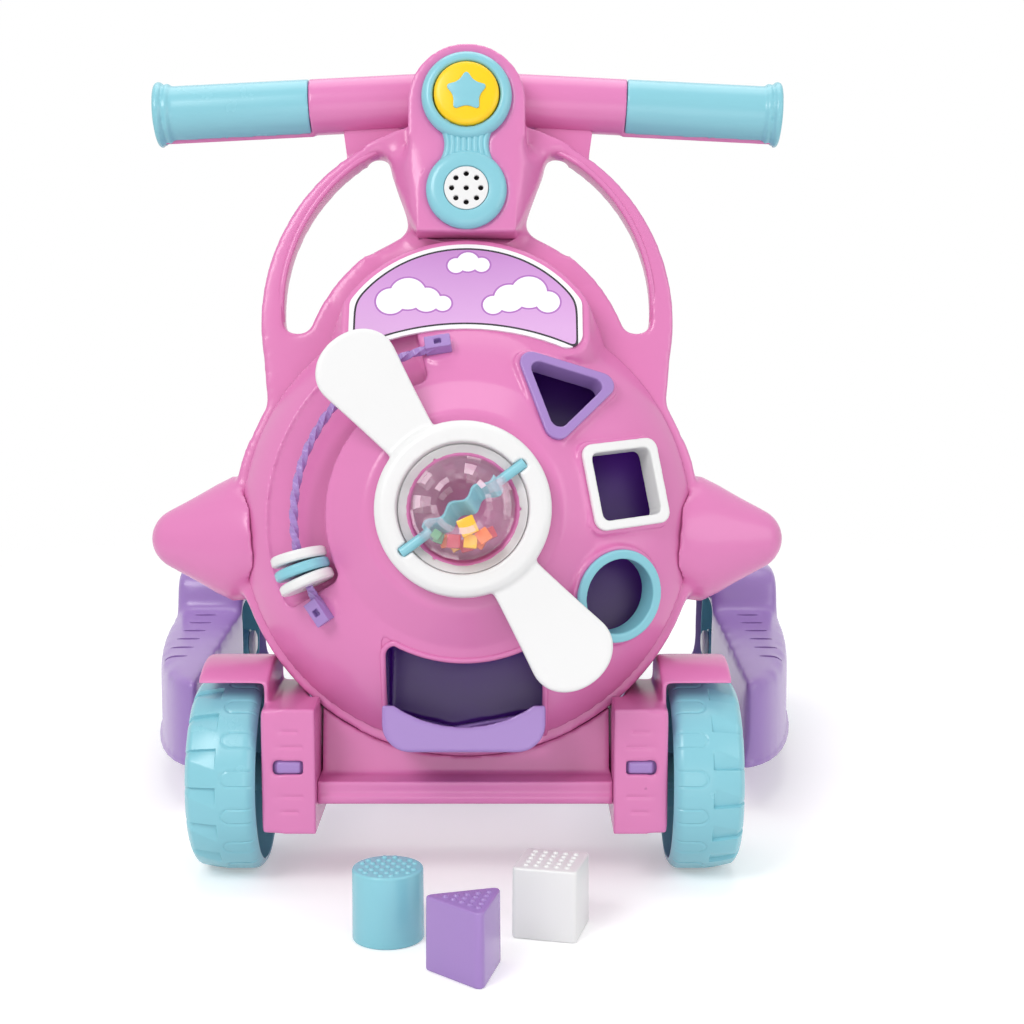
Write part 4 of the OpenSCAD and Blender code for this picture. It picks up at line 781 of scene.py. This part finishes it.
# Wheels: hollow teal mouldings with lugs and tongues in the tread, which turn on fixed steel axles.
# White caps are pressed on the axle ends.
WHEEL_R = 57.0
WHEEL_W = 41.0
INNER_ROUND = 8.0
INNER_DROP = 5.0
CROWN_END = 20.5
CROWN_DROP = 2.5
OUTER_ROUND = 36.0
OUTER_DROP = 6.0
FRONT_TRACK = 119.0
REAR_TRACK = 187.0
LUGS = 16
LUG_STEPS = 36
LUG_START = 22.5
LUG_DEPTH = 2.2
LUG_HALF = 6.2
LUG_SLANT = 0.6
TONGUE_HALF = 4.5
TONGUE_START = 2.0
TONGUE_END = 14.8
GROOVE_HALF = 0.75
GROOVE_DEPTH = 0.5
TREAD_ROWS = 60
TREAD_END = 0.2
TREAD_LOW_R = 51.4
SHOULDER_LOW_R = 47.5
SHOULDER_START = 39.0
INNER_SIDE = ((4.3, 0.0), (10.6, 0.0), (11.0, 0.5), (11.0, 22.0), (12.0, 22.5), (50.0, 22.5), (51.0, 21.5),
              (51.0, 0.7), (51.3, TREAD_END))
OUTER_SIDE = ((48.0, WHEEL_W), (38.2, WHEEL_W), (37.0, 40.2), (33.4, 27.6), (32.4, 26.6), (12.0, 26.6),
              (11.0, 27.4), (11.0, 40.5), (10.5, WHEEL_W), (4.3, WHEEL_W), (4.3, 0.0))


def tread_radius(across):
    """Radius of the smooth tread at a distance from the wheel's inner edge."""
    if across < INNER_ROUND:
        return WHEEL_R - INNER_DROP * ((INNER_ROUND - across) / INNER_ROUND) ** 3
    if across < OUTER_ROUND:
        return WHEEL_R - CROWN_DROP * (max(0.0, across - CROWN_END) / (OUTER_ROUND - CROWN_END)) ** 1.5
    return WHEEL_R - CROWN_DROP - OUTER_DROP * ((across - OUTER_ROUND) / (WHEEL_W - OUTER_ROUND)) ** 2


def tread_cut(turn, across):
    """Depth of the grooves round the tongues and of the slanting notches between the lugs."""
    pitch = math.tau * WHEEL_R / LUGS
    along = (turn * LUGS / math.tau % 1.0 - 0.5) * pitch
    rim = abs(math.hypot(max(across - TONGUE_END, 0.0), along) - TONGUE_HALF) / GROOVE_HALF
    cut = GROOVE_DEPTH * (1.0 - rim * rim) if rim < 1.0 and across > TONGUE_START else 0.0
    along = ((turn * LUGS / math.tau + 0.5) % 1.0 - 0.5) * pitch
    if across > LUG_START and abs(along) < LUG_HALF:
        slant = LUG_SLANT * (across - LUG_START) / (WHEEL_W - LUG_START)
        share = (along + LUG_HALF) / (2 * LUG_HALF)
        cut = LUG_DEPTH * max(0.0, share - slant) / (1.0 - slant)
    return cut


wheel = bmesh.new()
tread_width = WHEEL_W - 2 * TREAD_END
rows = [TREAD_END + tread_width * row / (TREAD_ROWS - 1) for row in range(TREAD_ROWS)]
section = INNER_SIDE + tuple((tread_radius(row), row) for row in rows) + OUTER_SIDE
turned(wheel, section, (0.0, 0.0), LUGS * LUG_STEPS)
bmesh.ops.remove_doubles(wheel, verts=wheel.verts, dist=0.0001)
for vert in wheel.verts:
    radius = math.hypot(vert.co.x, vert.co.y)
    if radius > TREAD_LOW_R or (radius > SHOULDER_LOW_R and vert.co.z > SHOULDER_START):
        shrink = 1.0 - tread_cut(math.atan2(vert.co.y, vert.co.x), vert.co.z) / radius
        vert.co.x *= shrink
        vert.co.y *= shrink

for end, track in (("front", FRONT_TRACK), ("rear", REAR_TRACK)):
    for side, turn in (("left", -90.0), ("right", 90.0)):
        hub = Vector(joint[end + "_" + side + "_wheel_spin"]["pos_m"])
        hub.x = math.copysign(track * MM, turn)
        stand = Matrix.Translation(hub) @ Matrix.Rotation(math.radians(turn), 4, "Y") @ Matrix.Scale(MM, 4)
        form = wheel.copy()
        bmesh.ops.transform(form, matrix=stand, verts=form.verts)
        bmesh.ops.recalc_face_normals(form, faces=form.faces)
        label = end + "_" + side + "_wheel"
        finished(form, label + "_moulding", teal_plastic, label, [end + "_wheel_" + side],
                 crease=28.0)
        soft_copy(end + "_hub_cap_" + side, 0.5, 4, white_plastic)
wheel.free()
for name in ("front_axle", "rear_stub_axle_left", "rear_stub_axle_right"):
    dress(name, steel)

# Chassis, seat and foot pods: purple mouldings that carry the child, on rails that latch into the housings.
# The pods have slits for grip on the step, and a fender over each rear wheel.
soft_copy("chassis", 1.4, 5, purple_plastic, keep=0.25)
soft_copy("seat", 1.6, 8, purple_plastic, keep=0.25)
AXLE_Y = joint["front_left_wheel_spin"]["pos_m"][1] / MM
POD_IN = 181.0
TOE_WIDE = 53.0
TOE_LONG = 228.0
TOE_BACK = 336.0
TOE_STOP = 48.0
TOE_TURN = 78.0
TOE_FLOOR = 30.0
TOE_INSET = 1.3
TOE_STEPS = 20
SLITS = 6
SLIT_X = 207.0
SLIT_START = 170.0
SLIT_PITCH = 24.0
SLIT_LONG = 8.4
SLIT_WIDE = 2.2
SLIT_DEEP = 3.0
SLIT_STEPS = 24
CUTTER_H = 30.0
STEP_Z = 81.2
STEP_SLOPE = 0.0483
POD_LIP = 34.0
EDGE_ROUNDS = 110
STEP_CREASE = 50.0


def fill_toe(form, side):
    """Fills the hollow toe of a foot pod, whose wall is thin where it curves."""
    outline = [(POD_IN + TOE_INSET, TOE_BACK - TOE_STOP)]
    for step in range(TOE_STEPS):
        turn = math.radians(TOE_TURN * step / (TOE_STEPS - 1))
        lean = Vector((TOE_LONG * math.sin(turn), -TOE_WIDE * math.cos(turn))).normalized() * TOE_INSET
        outline.append((max(POD_IN + TOE_INSET, POD_IN + TOE_WIDE * math.sin(turn) - lean.x),
                        TOE_BACK - TOE_LONG * math.cos(turn) - lean.y))
    corners = [form.verts.new((side * x * MM, (AXLE_Y + y) * MM, TOE_FLOOR * MM)) for x, y in outline]
    for vert in drawn_out(form, [form.faces.new(corners)]):
        vert.co.z = (STEP_Z + STEP_SLOPE * (vert.co.y / MM - AXLE_Y)) * MM


def cut_slits(pod, side):
    """Cuts the row of lens-shaped grip slits into the step of a pod."""
    form = bmesh.new()
    for slit in range(SLITS):
        row = SLIT_START + SLIT_PITCH * slit
        level = STEP_Z + STEP_SLOPE * row - SLIT_DEEP
        lens = []
        for step in range(SLIT_STEPS):
            turn = math.tau * step / SLIT_STEPS
            x = side * (SLIT_X + SLIT_LONG * math.cos(turn))
            y = AXLE_Y + row + SLIT_WIDE * math.sin(turn)
            lens.append(form.verts.new((x * MM, y * MM, level * MM)))
        top = drawn_out(form, [form.faces.new(lens)])
        bmesh.ops.translate(form, verts=top, vec=(0.0, 0.0, CUTTER_H * MM))
    bmesh.ops.recalc_face_normals(form, faces=form.faces)
    mesh = bpy.data.meshes.new("slit_cutter")
    form.to_mesh(mesh)
    form.free()
    cutter = bpy.data.objects.new("slit_cutter", mesh)
    scene.collection.objects.link(cutter)
    cut = pod.modifiers.new("slits", "BOOLEAN")
    cut.operation = "DIFFERENCE"
    cut.object = cutter
    ready = pod.evaluated_get(bpy.context.evaluated_depsgraph_get())
    pod.data = bpy.data.meshes.new_from_object(ready)
    pod.modifiers.clear()
    bpy.data.objects.remove(cutter)
    pod.data.shade_smooth()
    pod.data.set_sharp_from_angle(angle=math.radians(STEP_CREASE))


for side, label in ((-1, "left"), (1, "right")):
    pod = soft_copy("footrest_pod_" + label, 1.2, 4, purple_plastic,
                    fill=lambda form: fill_toe(form, side))
    relax_more(pod, EDGE_ROUNDS, lambda spot: spot.z > POD_LIP * MM)
    cut_slits(pod, side)

# Loose blocks: a cylinder, a prism and a cube for the sorter, with round edges and a grid of bumps on top.
# They are moulded in the same plastics as the toy, and stand on the floor.
BLOCK_H = 39.0
BLOCK_DRAFT = 0.985
BLOCK_EDGE = 1.3
BUMP_R = 1.9
BUMP_TOP_R = 1.045
BUMP_H = 0.9
BUMP_SINK = 0.36
BUMP_PITCH = 5.6


def block_piece(name, sides, radius, twist, place, turn, rounding, spots, finish, body, node):
    """An upright block with rounded edges, a slight draft and a grid of bumps on its top."""
    form = bmesh.new()
    lift = Matrix.Translation((0.0, 0.0, BLOCK_H / 2)) @ Matrix.Rotation(math.radians(twist), 4, "Z")
    bmesh.ops.create_cone(form, cap_ends=True, segments=sides, radius1=radius,
                          radius2=radius * BLOCK_DRAFT, depth=BLOCK_H, matrix=lift)
    if rounding > 0.0:
        upright = [edge for edge in form.edges if abs(edge.verts[0].co.z - edge.verts[1].co.z) > 1.0]
        bmesh.ops.bevel(form, geom=upright, offset=rounding, segments=6, profile=0.5,
                        affect="EDGES", material=-1)
    level = [edge for edge in form.edges if abs(edge.verts[0].co.z - edge.verts[1].co.z) < 0.1]
    bmesh.ops.bevel(form, geom=level, offset=BLOCK_EDGE, segments=4, profile=0.5, affect="EDGES", material=-1)
    for u, v in spots:
        bump = Matrix.Translation((u, v, BLOCK_H + (BUMP_H - BUMP_SINK) / 2))
        bmesh.ops.create_cone(form, cap_ends=True, segments=12, radius1=BUMP_R, radius2=BUMP_TOP_R,
                              depth=BUMP_H + BUMP_SINK, matrix=bump)
    stand = Matrix.Scale(MM, 4) @ Matrix.Translation((place[0], AXLE_Y + place[1], 0.0))
    bmesh.ops.transform(form, matrix=stand @ Matrix.Rotation(math.radians(turn), 4, "Z"), verts=form.verts)
    bmesh.ops.recalc_face_normals(form, faces=form.faces)
    finished(form, name, finish, body, [node])


HEX_ROW = 0.87
ROUND_REACH = 15.5
PRISM_ROWS = 5
PRISM_START = -8.0
PRISM_STEP = 5.0

round_spots = []
for u in range(-4, 4):
    for v in range(-3, 4):
        spot = ((u + (v % 2) / 2) * BUMP_PITCH, v * HEX_ROW * BUMP_PITCH)
        if math.hypot(*spot) < ROUND_REACH:
            round_spots.append(spot)
prism_spots = []
for row in range(PRISM_ROWS):
    for rank in range(PRISM_ROWS - row):
        middle = (PRISM_ROWS - 1 - row) / 2
        prism_spots.append((PRISM_START + row * PRISM_STEP, (rank - middle) * BUMP_PITCH))
square_spots = [(u * BUMP_PITCH, v * BUMP_PITCH) for u in range(-2, 3) for v in range(-2, 3)]

block_piece("round_block", sides=96, radius=19.2, twist=0.0, place=(-39.0, -119.0), turn=0.0, rounding=0.0,
            spots=round_spots, finish=teal_plastic, body="round_block",
            node="block_cylinder")
block_piece("prism_block", sides=3, radius=25.6, twist=-90.0, place=(5.0, -167.0), turn=167.0, rounding=6.4,
            spots=prism_spots, finish=purple_plastic, body="triangle_block",
            node="block_prism")
block_piece("cube_block", sides=4, radius=25.2, twist=45.0, place=(48.0, -108.0), turn=-14.0, rounding=2.8,
            spots=square_spots, finish=white_plastic, body="square_block",
            node="block_cube")
